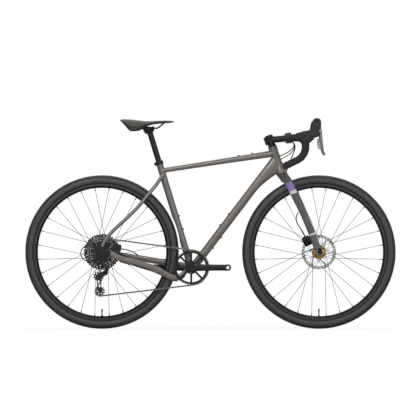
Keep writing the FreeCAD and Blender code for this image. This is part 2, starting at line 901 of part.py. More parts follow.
stay_start = S.dropout_reach * half + S.chainstay_tip_gap
tip_y = rear_inner_y + S.dropout_thickness * half
stay_low_y = S.chainstay_belly_y
left_shares = (0.0, 0.14, 0.28, 0.45, 0.65, 0.85, 1.0)
left_y_shares = (1.0, 0.90, 0.66, 0.36, 0.14, 0.0, -0.08)
left_size_shares = (0.0, 0.3, 0.7, 1.0, 1.0, 1.0, 1.0)
stay_from = rear_axle_spot + Vec(stay_start * half, 0, -S.chainstay_tip_height * half * half * half)
stay_to = shell_spot + Vec(-S.shell_radius * half, 0, S.shell_radius * half * half)
left_points = []
stay_heights = []
stay_widths = []
for where, spread, grown in zip(left_shares, left_y_shares, left_size_shares):
    y = stay_low_y + (tip_y - stay_low_y) * spread
    left_points.append(stay_from + (stay_to - stay_from) * where + axis_y * y)
    stay_heights.append(S.chainstay_tip_height + (S.chainstay_height - S.chainstay_tip_height) * grown)
    stay_widths.append(S.chainstay_tip_width + (S.chainstay_width - S.chainstay_tip_width) * grown)
left_blank = along_path(left_points, stay_heights, stay_widths, axis_z, tube_power)
axle_room = rod(rear_axle_spot - axis_y * S.rear_hub_width, rear_axle_spot + axis_y * S.rear_hub_width,
                S.axle_head_radius + S.axle_head_width)
cup_room = rod(shell_spot - axis_y * S.shell_width, shell_spot + axis_y * S.shell_width,
               S.cup_flange_radius + S.fit_gap)
low_arm_share = 0.45
tip_radius = math.hypot(S.dropout_reach, S.dropout_rise * low_arm_share) + S.fit_gap
tip_room = rod(rear_axle_spot - axis_y * S.rear_hub_width, rear_axle_spot + axis_y * S.rear_hub_width, tip_radius)
left_stay = left_blank.cut(cup_room).cut(tip_room)
chainstay_left = keep(feature("chainstay_left", solid_of(left_stay)))

# Drive chainstay: drops below the chain's upper run, passes behind the chainring and rises to the shell.

right_x_shares = (0.0, 0.17, 0.29, 0.41, 0.53, 0.65, 0.72, 0.79, 0.86, 0.93, 1.0)
right_z_shares = (0.0, -0.53, -0.73, -0.98, -1.22, -1.54, -1.83, -2.07, -2.12, -1.86, -1.48)
right_y_shares = (1.0, 0.72, 0.5, 0.32, 0.18, 0.06, 0.01, -0.03, -0.09, -0.16, -0.2)
right_size_shares = (0.0, 0.5, 0.8, 1.0, 1.0, 1.0, 1.0, 1.0, 0.96, 0.9, 0.85)
right_reach = shell_spot.x - rear_axle_spot.x - S.shell_radius * half - stay_start * half
right_points = []
right_heights = []
right_widths = []
for x, z, spread, grown in zip(right_x_shares, right_z_shares, right_y_shares, right_size_shares):
    y = stay_low_y + (tip_y - stay_low_y) * spread
    right_points.append(rear_axle_spot + Vec(stay_start * half + right_reach * x, -y, S.chainstay_drop * z))
    right_heights.append(S.chainstay_tip_height + (S.chainstay_height - S.chainstay_tip_height) * grown)
    right_widths.append(S.chainstay_tip_width + (S.chainstay_width - S.chainstay_tip_width) * grown)
right_blank = along_path(right_points, right_heights, right_widths, axis_z, tube_power)
right_stay = right_blank.cut(shell_core).cut(plate_core).cut(axle_room)
chainstay_right = keep(feature("chainstay_right", sorted(right_stay.Solids, key=lambda solid: solid.Volume)[-1]))

# Seatstays: from the sides of the seat tube, round the tyre, down to the dropouts.

seatstay_back_shares = (0.0, 0.056, 0.113, 0.27, 0.39, 0.555, 0.83, 0.94, 1.0)
seatstay_down_shares = (0.0, 0.077, 0.147, 0.3, 0.43, 0.567, 0.777, 0.885, 0.985)
seatstay_y_shares = (0.0, 0.09, 0.22, 0.44, 0.56, 0.68, 0.86, 0.95, 1.0)
seatstay_top = shell_spot + seat_up * S.seatstay_reach
seatstay_span = seatstay_top.x - rear_axle_spot.x
seatstay_fall = seatstay_top.z - rear_axle_spot.z - S.dropout_rise * half
stay_pair = []
for side in (right_side, left_side):
    route = []
    for back, down, spread in zip(seatstay_back_shares, seatstay_down_shares, seatstay_y_shares):
        y = S.seatstay_top_y + (tip_y - S.seatstay_top_y) * spread
        route.append(Vec(seatstay_top.x - seatstay_span * back, side * y, seatstay_top.z - seatstay_fall * down))
    wire, stay_radii = rounded(route)
    stay = pipe(wire, S.seatstay_radius).cut(seat_core).cut(plate_core).cut(axle_room)
    stay_pair.append(sorted(stay.Solids, key=lambda solid: solid.Volume)[-1])
seatstays = keep(feature("seatstays", Part.makeCompound(stay_pair)))


# Wheels: tyre, rim with valve, hooked spokes, hub and rotor, made alike for both ends

flange_top = S.bead_seat_radius + S.rim_flange_height
bead_half = S.rim_inner_width * half
rim_half = S.rim_outer_width * half
well_half = S.rim_well_width * half
spine_half = S.rim_spine_width * half
tyre_half = S.tyre_width * half
tyre_centre = wheel_radius - tyre_half
shoulder_radius = flange_top + S.fit_gap
shoulder_half = root(tyre_half * tyre_half - (tyre_centre - shoulder_radius) * (tyre_centre - shoulder_radius))
bead_out = bead_half - S.fit_gap
bead_foot = S.bead_seat_radius + S.fit_gap
spoke_step = full_turn / S.spoke_count
spokes_per_turn = int(S.spoke_count)
spoke_repeat = 4
foot_angle = 270.0


def polar(radius, angle, y=0):
    return Vec(radius * cosine(angle), y, radius * sine(angle))


def wheel_tyre(label, spot):
    return turned(label, [
        (shoulder_radius, shoulder_half),
        (shoulder_radius, bead_out),
        (bead_foot, bead_out),
        (bead_foot, -bead_out),
        (shoulder_radius, -bead_out),
        (shoulder_radius, -shoulder_half, tyre_half, right_side),
        (wheel_radius, 0, tyre_half, right_side),
    ], at(spot))


def wheel_rim(label, spot):
    # A channel for the tyre on a tapering spine, drilled for the spokes and the valve.
    blank = turned(label + "_blank", [
        (S.bead_seat_radius, bead_half),
        (flange_top, bead_half),
        (flange_top, rim_half),
        (S.bead_seat_radius - S.rim_well_depth, rim_half),
        (S.rim_inner_radius + S.rim_well_depth * half, spine_half + S.rim_well_depth * half),
        (S.rim_inner_radius, spine_half),
        (S.rim_inner_radius, -spine_half),
        (S.rim_inner_radius + S.rim_well_depth * half, -spine_half - S.rim_well_depth * half),
        (S.bead_seat_radius - S.rim_well_depth, -rim_half),
        (flange_top, -rim_half),
        (flange_top, -bead_half),
        (S.bead_seat_radius, -bead_half),
        (S.bead_seat_radius, -well_half),
        (S.bead_seat_radius - S.rim_well_depth, -well_half),
        (S.bead_seat_radius - S.rim_well_depth, well_half),
        (S.bead_seat_radius, well_half),
    ], at(spot))
    drills = []
    for index in range(spokes_per_turn):
        angle = foot_angle + spoke_step * (index + half)
        start = spot + polar(S.rim_inner_radius - S.cut_overrun, angle)
        end = spot + polar(S.rim_inner_radius + S.nipple_depth + S.running_gap, angle)
        drills.append(rod(start, end, S.nipple_hole_radius))
    start = spot + polar(S.rim_inner_radius - S.cut_overrun, foot_angle)
    end = spot + polar(flange_top, foot_angle)
    drills.append(rod(start, end, S.valve_radius + S.fit_gap))
    drill = feature(label + "_drill", Part.makeCompound(drills))
    rim = less(label + "_rim", blank, drill)
    inner = S.rim_inner_radius
    valve = turned(label + "_valve", [
        (0, S.fit_gap),
        (S.valve_nut_radius, S.fit_gap),
        (S.valve_nut_radius, S.valve_nut_height),
        (S.valve_radius, S.valve_nut_height),
        (S.valve_radius, S.valve_length - S.valve_cap_length),
        (S.valve_cap_radius, S.valve_length - S.valve_cap_length),
        (S.valve_cap_radius, S.valve_length - S.valve_cap_radius),
        (0, S.valve_length),
    ], at(spot + polar(inner, foot_angle), axis_z))
    stem_end = spot + polar(S.bead_seat_radius - S.rim_well_depth, foot_angle)
    stem = rod(spot + polar(inner - S.valve_nut_height, foot_angle), stem_end, S.valve_radius)
    whole = feature(label + "_valve_stem", solid_of(valve.Shape.fuse(stem).removeSplitter()))
    return group(label, [rim, whole])


def spoke(spot, index, right_y, left_y):
    # Even spokes hang from the right flange. Pairs lean alternately with and against the wheel's turn.
    side = right_side if index % 2 == 0 else left_side
    lean = 1 if index % spoke_repeat < 2 else -1
    flange_y = right_y if side == right_side else left_y
    rim_angle = foot_angle + spoke_step * (index + half)
    hole_angle = rim_angle + lean * S.spoke_cross_angle
    face = S.flange_width * half + S.spoke_radius + S.fit_gap
    lifted = face + (S.spoke_lift if lean == side else 0)
    out_y = side * flange_y + lean * lifted
    hole = spot + polar(S.flange_circle_radius, hole_angle, out_y)
    end = spot + polar(S.rim_inner_radius + S.nipple_depth, rim_angle)
    along = end - hole
    along.normalize()
    leg = rod(hole, end, S.spoke_radius)
    nipple = rod(end - along * S.nipple_length, end, S.nipple_radius)
    inside = axis_y * -lean
    hook = rod(hole, hole + inside * (face + lifted), S.spoke_radius)
    knee = Part.makeSphere(S.spoke_radius, hole)
    head_spot = hole + inside * (face + lifted - S.spoke_radius)
    head = rod(head_spot, head_spot + inside * S.spoke_head_height, S.spoke_head_radius)
    return leg.fuse([nipple, hook, knee, head]).removeSplitter()


def wheel_spokes(label, spot, right_y, left_y):
    spokes = []
    for index in range(spoke_repeat):
        first = solid_of(spoke(spot, index, right_y, left_y))
        for turn in range(spokes_per_turn // spoke_repeat):
            copy = first.copy()
            copy.rotate(spot, -axis_y, spoke_step * spoke_repeat * turn)
            spokes.append(copy)
    return feature(label, Part.makeCompound(spokes))


def wheel_hub(label, spot, right_y, left_y, right_end, left_end, rotor_y):
    # A barrel between two flanges, stepped ends, and a splined seat for the rotor on the left.
    bore = S.axle_radius + S.running_gap
    flange_half = S.flange_width * half
    foot = S.hub_barrel_radius + S.flange_width
    neck = S.flange_circle_radius - S.flange_width
    blank = turned(label + "_blank", [
        (bore, -right_end),
        (S.hub_end_radius, -right_end),
        (S.hub_end_radius, -right_end + S.hub_end_step * half),
        (S.hub_barrel_radius, -right_y - S.flange_width),
        (neck, -right_y - flange_half),
        (S.flange_radius, -right_y - flange_half),
        (S.flange_radius, -right_y + flange_half),
        (neck, -right_y + flange_half),
        (foot, -right_y + S.flange_width * 2),
        (S.hub_barrel_radius, -right_y + S.flange_width * 4),
        (S.hub_barrel_radius, left_y - S.flange_width * 4),
        (foot, left_y - S.flange_width * 2),
        (neck, left_y - flange_half),
        (S.flange_radius, left_y - flange_half),
        (S.flange_radius, left_y + flange_half),
        (neck, left_y + flange_half),
        (S.rotor_seat_radius + S.flange_width, left_y + S.flange_width),
        (S.rotor_seat_radius + S.flange_width, rotor_y - S.rotor_thickness * half - S.fit_gap),
        (S.rotor_seat_radius, rotor_y - S.rotor_thickness * half - S.fit_gap),
        (S.rotor_seat_radius, rotor_y + S.rotor_thickness * 2),
        (S.hub_end_radius, rotor_y + S.rotor_thickness * 2),
        (S.hub_end_radius, left_end),
        (bore, left_end),
    ], at(spot))
    drills = []
    for index in range(spokes_per_turn):
        side = right_side if index % 2 == 0 else left_side
        lean = 1 if index % spoke_repeat < 2 else -1
        flange_y = side * (right_y if side == right_side else left_y)
        hole_angle = foot_angle + spoke_step * (index + half) + lean * S.spoke_cross_angle
        start = spot + polar(S.flange_circle_radius, hole_angle, flange_y - S.flange_width)
        end = spot + polar(S.flange_circle_radius, hole_angle, flange_y + S.flange_width)
        drills.append(rod(start, end, S.spoke_hole_radius))
    drill = feature(label + "_drill", Part.makeCompound(drills))
    return less(label, blank, drill)


def wedge(inner, outer, start, end, width):
    # A window between two radial arms that keep the given width between neighbours.
    def edge_angle(radius, angle, sign):
        return angle + sign * math.degrees(math.asin(width * half / radius))

    corners = [(outer, edge_angle(outer, start, 1)), (outer, edge_angle(outer, end, -1)),
               (inner, edge_angle(inner, end, -1)), (inner, edge_angle(inner, start, 1))]
    spots = [polar(radius, angle) for radius, angle in corners]
    middle = (start + end) * half
    edges = [Part.Arc(spots[0], polar(outer, middle), spots[1]).toShape(),
             Part.LineSegment(spots[1], spots[2]).toShape(),
             Part.Arc(spots[2], polar(inner, middle), spots[3]).toShape(),
             Part.LineSegment(spots[3], spots[0]).toShape()]
    return Part.Wire(edges)


def plate(outer, holes, thickness, y):
    # A flat piece across Y from an outline and its holes.
    face = Part.makeFace([outer] + holes, "Part::FaceMakerBullseye")
    face.translate(Vec(0, y - thickness * half, 0))
    return face.extrude(Vec(0, thickness, 0))


def ring_wire(radius, x=0, z=0):
    return Part.Wire([Part.makeCircle(radius, Vec(x, 0, z), axis_y)])


def wheel_rotor(label, spot, rotor_y):
    # A slotted braking track on leaning arms from the carrier.
    outer = S.rotor_diameter * half
    track = outer - S.rotor_track_width
    count = int(S.rotor_arm_count)
    step = full_turn / count
    lean = S.rotor_arm_lean
    holes = [ring_wire(S.rotor_seat_radius + S.fit_gap)]
    for index in range(count):
        start = step * index
        near = S.rotor_carrier_radius
        far_gap = math.degrees(S.rotor_arm_width / track)
        near_gap = math.degrees(S.rotor_arm_width / near)
        spots = [polar(track, start + far_gap * half), polar(track, start + step - far_gap * half),
                 polar(near, start + step - near_gap * half - lean), polar(near, start + near_gap * half - lean)]
        far_mid = polar(track, start + step * half)
        near_mid = polar(near, start + step * half - lean)
        holes.append(Part.Wire([
            Part.Arc(spots[0], far_mid, spots[1]).toShape(),
            Part.LineSegment(spots[1], spots[2]).toShape(),
            Part.Arc(spots[2], near_mid, spots[3]).toShape(),
            Part.LineSegment(spots[3], spots[0]).toShape(),
        ]))
    slots = int(S.rotor_slot_count)
    slot_shares = (0.3, 0.5, 0.7)
    for index in range(slots):
        radius = track + S.rotor_track_width * slot_shares[index % len(slot_shares)]
        spot_in = polar(radius, full_turn * index / slots)
        holes.append(ring_wire(S.rotor_slot_radius, spot_in.x, spot_in.z))
    disc = plate(ring_wire(outer), holes, S.rotor_thickness, rotor_y)
    disc.translate(spot)
    return feature(label, solid_of(disc))


front_end = front_inner_y - S.free_gap
rear_end = rear_inner_y - S.free_gap
front_rotor_y = front_inner_y - S.front_rotor_inset
rear_rotor_y = rear_inner_y - S.rear_rotor_inset
hub_shell_end = S.rear_flange_right_y + S.flange_width * 2
keep(wheel_tyre("front_tyre", front_axle_spot))
keep(wheel_rim("front_rim", front_axle_spot))
keep(wheel_spokes("front_spokes", front_axle_spot, S.front_flange_right_y, S.front_flange_left_y))
keep(wheel_hub("front_hub", front_axle_spot, S.front_flange_right_y, S.front_flange_left_y,
               front_end, front_end, front_rotor_y))
keep(wheel_rotor("front_rotor", front_axle_spot, front_rotor_y))
keep(wheel_tyre("rear_tyre", rear_axle_spot))
keep(wheel_rim("rear_rim", rear_axle_spot))
keep(wheel_spokes("rear_spokes", rear_axle_spot, S.rear_flange_right_y, S.rear_flange_left_y))
keep(wheel_hub("rear_hub", rear_axle_spot, S.rear_flange_right_y, S.rear_flange_left_y,
               hub_shell_end, rear_end, rear_rotor_y))
keep(wheel_rotor("rear_rotor", rear_axle_spot, rear_rotor_y))


# Drivetrain. The chain runs over the ring and the cog, then back through the two pulleys. Its pins
# are set out one pitch apart along that path, and the cage is swung until they close on themselves.

cog_teeth = (11, 13, 15, 17, 19, 22, 25, 28, 32, 36, 42)
cog_in_use = 8
clockwise = -1
anticlockwise = 1
ring_count = int(S.ring_teeth)
pulley_count = int(S.pulley_teeth)


def pitch_radius(teeth):
    return S.chain_pitch * half / math.sin(math.pi / teeth)


def cog_y(index):
    return -(rear_inner_y - S.cassette_inset - S.cassette_pitch * index)


chain_y = cog_y(cog_in_use)
cage_pivot = rear_axle_spot + Vec(S.cage_pivot_forward, chain_y, -S.cage_pivot_drop)


def pulley_spots(angle):
    guide = cage_pivot + swing(-S.guide_back, -S.guide_down, angle)
    tension = cage_pivot + swing(-S.tension_back, -S.tension_down, angle)
    return guide, tension


def chain_path(angle):
    # Straight and curved pieces in the order in which the chain travels, as (length, place function).
    guide, tension = pulley_spots(angle)
    wheels = [
        (rear_axle_spot + axis_y * chain_y, pitch_radius(cog_teeth[cog_in_use]), clockwise),
        (shell_spot - axis_y * S.chain_line, pitch_radius(ring_count), clockwise),
        (tension, pitch_radius(pulley_count), clockwise),
        (guide, pitch_radius(pulley_count), anticlockwise),
    ]
    count = len(wheels)
    leaves = []
    arrives = [None] * count
    for index, (spot, radius, turn) in enumerate(wheels):
        after, after_radius, after_turn = wheels[(index + 1) % count]
        gap = Vec(after.x - spot.x, 0, after.z - spot.z)
        lean = math.asin((turn * radius - after_turn * after_radius) / gap.Length)
        heading = math.atan2(gap.z, gap.x) + lean
        across = Vec(math.sin(heading), 0, -math.cos(heading))
        leaves.append(spot + across * (turn * radius))
        arrives[(index + 1) % count] = after + across * (after_turn * after_radius)
    pieces = []
    for index, (spot, radius, turn) in enumerate(wheels):
        start = leaves[index]
        end = arrives[(index + 1) % count]
        pieces.append(((end - start).Length, start, end, None))
        after, after_radius, after_turn = wheels[(index + 1) % count]
        begin = math.atan2(end.z - after.z, end.x - after.x)
        leave = leaves[(index + 1) % count]
        finish = math.atan2(leave.z - after.z, leave.x - after.x)
        sweep = ((finish - begin) * after_turn) % (2 * math.pi)
        pieces.append((sweep * after_radius, begin, sweep * after_turn, (after, after_radius)))
    return pieces


def on_path(pieces, travel):
    for length, first, second, wheel in pieces:
        if travel <= length:
            break
        travel -= length
    share = travel / length
    if wheel is None:
        return first + (second - first) * share
    spot, radius = wheel
    turn = first + second * share
    return spot + Vec(math.cos(turn) * radius, 0, math.sin(turn) * radius)


def lay_pins(angle):
    # Pins one pitch apart, and the number of links that the path would take.
    pieces = chain_path(angle)
    total = sum(piece[0] for piece in pieces)
    pins = [on_path(pieces, 0)]
    travel = 0.0
    tries = 12
    while True:
        ahead = travel + S.chain_pitch
        for attempt in range(tries):
            ahead += S.chain_pitch - (on_path(pieces, ahead % total) - pins[-1]).Length
        if ahead > total:
            return pins, len(pins) - 1 + (total - travel) / (ahead - travel)
        travel = float(ahead)
        pins.append(on_path(pieces, travel))


links_at_rest = lay_pins(0)[1]
link_count = 2 * round(links_at_rest * half)
cage_low = -24.0
cage_high = 24.0
rounds = 40
for attempt in range(rounds):
    cage_angle = (cage_low + cage_high) * half
    if lay_pins(cage_angle)[1] > link_count:
        cage_low = cage_angle
    else:
        cage_high = cage_angle
pins = lay_pins(cage_angle)[0][:link_count]
guide_spot, tension_spot = pulley_spots(cage_angle)
print("chain links", link_count, "cage angle", round(cage_angle, 3))
closing = (pins[-1] - pins[0]).Length
print("closing pitch", round(closing, 4))


def phase_of(spot, radius):
    # The angle of a pin that lies on the given pitch circle, nearest the middle of its wrap.
    near = []
    for pin in pins:
        reach = Vec(pin.x - spot.x, 0, pin.z - spot.z)
        if abs(reach.Length - radius) < S.chain_pin_play * half:
            near.append(math.degrees(math.atan2(reach.z, reach.x)))
    return near[len(near) // 2]


seat_half_angle = 60.0


def toothed(teeth, phase):
    # The outline of a sprocket whose gaps seat the chain's rollers.
    radius = pitch_radius(teeth)
    seat = S.roller_radius + S.roller_play
    low = seat * cosine(seat_half_angle)
    wide = seat * sine(seat_half_angle)
    flank = (S.tooth_tip_height + low) / sine(seat_half_angle)
    tip_wide = wide + flank * cosine(seat_half_angle)
    edges = []
    tips = []
    for index in range(teeth):
        angle = phase + full_turn * index / teeth
        out = polar(1, angle)
        side = polar(1, angle + full_turn * half * half)
        centre = out * radius
        tip_a = centre + out * S.tooth_tip_height - side * tip_wide
        foot_a = centre - out * low - side * wide
        base = centre - out * seat
        foot_b = centre - out * low + side * wide
        tip_b = centre + out * S.tooth_tip_height + side * tip_wide
        tips.append((tip_a, tip_b))
        edges.append((tip_a, foot_a, base, foot_b, tip_b))
    shapes = []
    for index, (tip_a, foot_a, base, foot_b, tip_b) in enumerate(edges):
        shapes.append(Part.LineSegment(tip_a, foot_a).toShape())
        shapes.append(Part.Arc(foot_a, base, foot_b).toShape())
        shapes.append(Part.LineSegment(foot_b, tip_b).toShape())
        shapes.append(Part.LineSegment(tip_b, tips[(index + 1) % teeth][0]).toShape())
    return Part.Wire(shapes)


# Chainring: a toothed rim on eight arms, thicker inside the teeth.

ring_spot = shell_spot - axis_y * S.chain_line
ring_phase = phase_of(ring_spot, pitch_radius(ring_count))
arm_count = int(S.ring_arm_count)
arm_step = full_turn / arm_count
ring_windows = []
for index in range(arm_count):
    start = arm_step * index
    ring_windows.append(wedge(S.ring_hub_radius, S.ring_rim_radius, start, start + arm_step, S.ring_arm_width))
ring_bolts = []
bolt_count = 3
for index in range(bolt_count):
    spot = polar(S.ring_bolt_circle_radius, arm_step * half + full_turn * index / bolt_count)
    ring_bolts.append(ring_wire(S.ring_bolt_radius, spot.x, spot.z))
ring_holes = ring_windows + ring_bolts + [ring_wire(S.ring_bore_radius)]
tooth_plate = plate(toothed(ring_count, ring_phase), ring_holes, S.ring_thickness, 0)
web_radius = S.ring_rim_radius + S.ring_web_thickness
web_plate = plate(ring_wire(web_radius), ring_holes, S.ring_web_thickness, 0)
ring_shape = tooth_plate.fuse(web_plate).removeSplitter()
ring_shape.translate(ring_spot)
keep(feature("chainring", solid_of(ring_shape)))

# Cassette: eleven sprockets, the larger ones on open spiders, with the freehub body and lockring.

cog_bore = S.freehub_radius + S.fit_gap
cog_phase = phase_of(rear_axle_spot, pitch_radius(cog_teeth[cog_in_use]))
cogs = []
for index, teeth in enumerate(cog_teeth):
    holes = [ring_wire(cog_bore)]
    rim = pitch_radius(teeth) - S.cog_rim_width
    hub = cog_bore + S.cog_hub_width
    spokes_here = 6 if index < cog_in_use else 8
    if rim - hub > S.cog_arm_width:
        step = full_turn / spokes_here
        for arm in range(spokes_here):
            holes.append(wedge(hub, rim, step * arm, step * (arm + 1), S.cog_arm_width))
    cog = plate(toothed(teeth, cog_phase), holes, S.cog_thickness, cog_y(index))
    cog.translate(rear_axle_spot)
    cogs.append(solid_of(cog))
cog_out = -cog_y(0) + S.cog_thickness * half
freehub_in = hub_shell_end + S.free_gap
freehub_bore = S.axle_radius + S.running_gap
freehub = turned("freehub_body", [
    (freehub_bore, -freehub_in),
    (S.freehub_radius, -freehub_in),
    (S.freehub_radius, -cog_out),
    (S.hub_end_radius, -cog_out),
    (S.hub_end_radius, -rear_end),
    (freehub_bore, -rear_end),
], at(rear_axle_spot))
lockring_in = cog_out + S.fit_gap
lockring = turned("cassette_lockring", [
    (S.hub_end_radius + S.fit_gap, -lockring_in),
    (S.freehub_radius + S.lockring_width, -lockring_in),
    (S.lockring_radius, -lockring_in - S.lockring_width),
    (S.hub_end_radius + S.fit_gap, -lockring_in - S.lockring_width),
], at(rear_axle_spot))
sprockets = feature("sprockets", Part.makeCompound(cogs))
keep(group("cassette", [sprockets, freehub, lockring]))

# Chain: inner links with rollers and outer links with pins, alternating.


def link_plate(y, thickness, hole):
    radius = S.chain_plate_radius
    waist = S.chain_waist_radius
    reach = math.sqrt(radius ** 2 - waist ** 2)
    pitch = S.chain_pitch
    a = Vec(reach, 0, waist)
    b = Vec(reach, 0, -waist)
    c = Vec(pitch - reach, 0, -waist)
    d = Vec(pitch - reach, 0, waist)
    outline = Part.Wire([
        Part.Arc(a, Vec(-radius, 0, 0), b).toShape(),
        Part.LineSegment(b, c).toShape(),
        Part.Arc(c, Vec(pitch + radius, 0, 0), d).toShape(),
        Part.LineSegment(d, a).toShape(),
    ])
    holes = [ring_wire(hole), ring_wire(hole, pitch)] if hole else []
    return plate(outline, holes, thickness, y)


pin_hole = S.chain_pin_radius + S.chain_pin_play
inner_y = (S.chain_inner_gap + S.chain_inner_plate) * half
outer_in = S.chain_inner_gap * half + S.chain_inner_plate + S.chain_plate_play
outer_y = outer_in + S.chain_outer_plate * half
pin_out = outer_in + S.chain_outer_plate
inner_bits = [link_plate(-inner_y, S.chain_inner_plate, pin_hole)]
outer_bits = [link_plate(-outer_y, S.chain_outer_plate, None), link_plate(outer_y, S.chain_outer_plate, None)]
for x in (0, S.chain_pitch):
    inner_bits.append(plate(ring_wire(S.roller_radius, x), [ring_wire(pin_hole, x)], S.chain_inner_gap, 0))
    outer_bits.append(rod(Vec(x, -pin_out, 0), Vec(x, pin_out, 0), S.chain_pin_radius))
inner_bits.append(link_plate(inner_y, S.chain_inner_plate, pin_hole))
inner_link = solid_of(inner_bits[0].fuse(inner_bits[1:]).removeSplitter())
outer_link = solid_of(outer_bits[0].fuse(outer_bits[1:]).removeSplitter())
links = []
for index, pin in enumerate(pins):
    ahead = pins[(index + 1) % link_count] - pin
    ahead.normalize()
    up = ahead.cross(axis_y)
    up.normalize()
    link = (inner_link if index % 2 == 0 else outer_link).copy()
    link.Placement = FreeCAD.Placement(pin, FreeCAD.Rotation(ahead, up.cross(ahead), up, "XYZ"))
    links.append(link)
keep(feature("chain", Part.makeCompound(links)))

# Cranks: the right arm carries the spindle and the ring's collar, the left arm is bolted on its end.

arm_root_y = S.crank_boss_y - S.crank_arm_thickness * half
arm_eye_y = S.crank_face_y - S.crank_eye_thickness * half
boss_in = S.chain_line + S.ring_web_thickness * half + S.fit_gap
arm_shares = (0.0, 0.3, 0.62, 1.0)
arm_offset_shares = (0.0, 0.42, 0.85, 1.0)
arm_height_shares = (1.22, 1.04, 0.96, 0.94)
arm_power = 3.0


def crank_arm(side, way):
    # side is the Y sign, way the X sign of the arm.
    sections = []
    for where, offset, tall in zip(arm_shares, arm_offset_shares, arm_height_shares):
        y = arm_root_y + (arm_eye_y - arm_root_y) * offset
        centre = shell_spot + Vec(way * S.crank_length * where, side * y, 0)
        sections.append(section(centre, axis_x, axis_z, S.crank_arm_height * tall * half,
                                S.crank_arm_thickness * half, arm_power))
    arm = loft(sections)
    eye_spot = shell_spot + axis_x * (way * S.crank_length)
    eye_in = S.crank_face_y - S.crank_eye_thickness
    eye = rod(eye_spot + axis_y * (side * eye_in), eye_spot + axis_y * (side * S.crank_face_y), S.crank_eye_radius)
    hole = rod(eye_spot + axis_y * (side * (eye_in - S.cut_overrun)),
               eye_spot + axis_y * (side * (S.crank_face_y + S.cut_overrun)), S.pedal_hole_radius)
    return arm.fuse(eye).cut(hole)


boss_out = S.crank_boss_y + S.crank_cap_depth
right_boss = rod(shell_spot - axis_y * boss_in, shell_spot - axis_y * boss_out, S.crank_boss_radius)
collar_in = half_shell + S.cup_flange_width + S.free_gap
collar = rod(shell_spot - axis_y * collar_in, shell_spot - axis_y * boss_out, S.ring_bore_radius - S.fit_gap)
spindle = rod(shell_spot - axis_y * S.crank_boss_y, shell_spot + axis_y * S.crank_boss_y, S.spindle_radius)
right_cap = rod(shell_spot - axis_y * S.crank_boss_y, shell_spot - axis_y * (boss_out + S.cut_overrun),
                S.crank_cap_radius)
right_arm = crank_arm(right_side, 1).fuse([right_boss, collar, spindle]).cut(right_cap)
keep(feature("crank_right", solid_of(right_arm.removeSplitter())))

left_in = half_shell + S.cup_flange_width + S.free_gap
left_boss = rod(shell_spot + axis_y * left_in, shell_spot + axis_y * boss_out, S.crank_boss_radius)
left_bore = rod(shell_spot, shell_spot + axis_y * (S.crank_boss_y + S.fit_gap), S.spindle_radius + S.fit_gap)
left_arm = crank_arm(left_side, -1).fuse(left_boss).cut(left_bore)
keep(feature("crank_left", solid_of(left_arm.removeSplitter())))

# Rear derailleur. The links turn about slanted pins, so that the cage moves inward and down together.

link_along = Vec(cosine(S.link_slope_angle) * cosine(S.link_toe_angle), sine(S.link_toe_angle),
                 -sine(S.link_slope_angle) * cosine(S.link_toe_angle))
link_move = Vec(0, cosine(S.link_slant_angle), -sine(S.link_slant_angle))
link_move = link_move - link_along * link_move.dot(link_along)
link_move.normalize()
link_axis = link_along.cross(link_move)
knuckle_pin = cage_pivot + Vec(S.link_forward, -S.link_outboard, S.link_up)
hanger_pin = knuckle_pin - link_along * S.link_length
link_turn = FreeCAD.Rotation(link_along, link_move, link_axis, "XYZ")


def linked(label, corners, thickness, spot, level, circles=()):
    # A plate across the link pins, its middle at the given level along them.
    return padded(label, corners, thickness, FreeCAD.Placement(spot + link_axis * level, link_turn), circles)


def stadium(length, radius):
    return [(length, radius), (0, radius, radius, right_side), (-radius, 0, radius, right_side),
            (0, -radius), (length, -radius, radius, right_side), (length + radius, 0, radius, right_side)]


link_hole = S.link_pin_radius + S.running_gap
link_holes = [(0, 0, link_hole), (S.link_length, 0, link_hole)]
link_outline = stadium(S.link_length, S.link_half_width)
keep(linked("derailleur_outer_link", link_outline, S.link_thickness, hanger_pin, 0, link_holes))
inner_pin = hanger_pin + link_move * S.link_spacing
keep(linked("derailleur_inner_link", link_outline, S.link_thickness, inner_pin, 0, link_holes))
lug_top = S.link_thickness * half + S.free_gap
lug_low = lug_top + S.lug_thickness


def pivot_lug(spot):
    # A plate under both links with their two pins standing on it.
    base = spot - link_axis * lug_low
    far = base + link_move * S.link_spacing
    side = link_along * S.lug_radius
    bridge = Part.Face(Part.makePolygon([base - side, base + side, far + side, far - side, base - side]))
    pieces = [bridge.extrude(link_axis * S.lug_thickness)]
    for foot in (base, far):
        pieces.append(rod(foot, foot + link_axis * S.lug_thickness, S.lug_radius))
        pieces.append(rod(foot, foot + link_axis * (lug_low + S.link_thickness * half), S.link_pin_radius))
    return pieces


def lug_middle(spot):
    return spot + link_move * (S.link_spacing * half) - link_axis * lug_low


# The upper knuckle hangs from the hanger's bolt and reaches back and down to its lug.

hanger_spot = rear_axle_spot + Vec(S.hanger_forward, 0, -S.hanger_drop)
boss_near = rear_inner_y + S.dropout_thickness + S.hanger_thickness + S.fit_gap * 2
boss_far = boss_near + S.hanger_boss_width
boss_mid = (boss_near + boss_far) * half
hanger_boss = rod(hanger_spot - axis_y * boss_near, hanger_spot - axis_y * boss_far, S.hanger_boss_radius)
hanger_bolt = rod(hanger_spot - axis_y * (rear_inner_y + S.dropout_thickness), hanger_spot - axis_y * boss_far,
                  S.hanger_bolt_radius * half)
elbow = hanger_spot + Vec(-S.knuckle_arm_back, -boss_mid, -S.knuckle_arm_drop)
upper_arm = rod(hanger_spot - axis_y * boss_mid, elbow, S.knuckle_arm_radius)
lug_arm = rod(elbow, lug_middle(hanger_pin), S.knuckle_arm_radius)
elbow_ball = Part.makeSphere(S.knuckle_arm_radius, elbow)
link_rooms = []
for pin in (hanger_pin, inner_pin):
    link_rooms.append(rod(pin - link_axis * (lug_top - S.free_gap * half), pin + link_axis * S.link_thickness,
                          S.link_half_width + S.free_gap * 2))
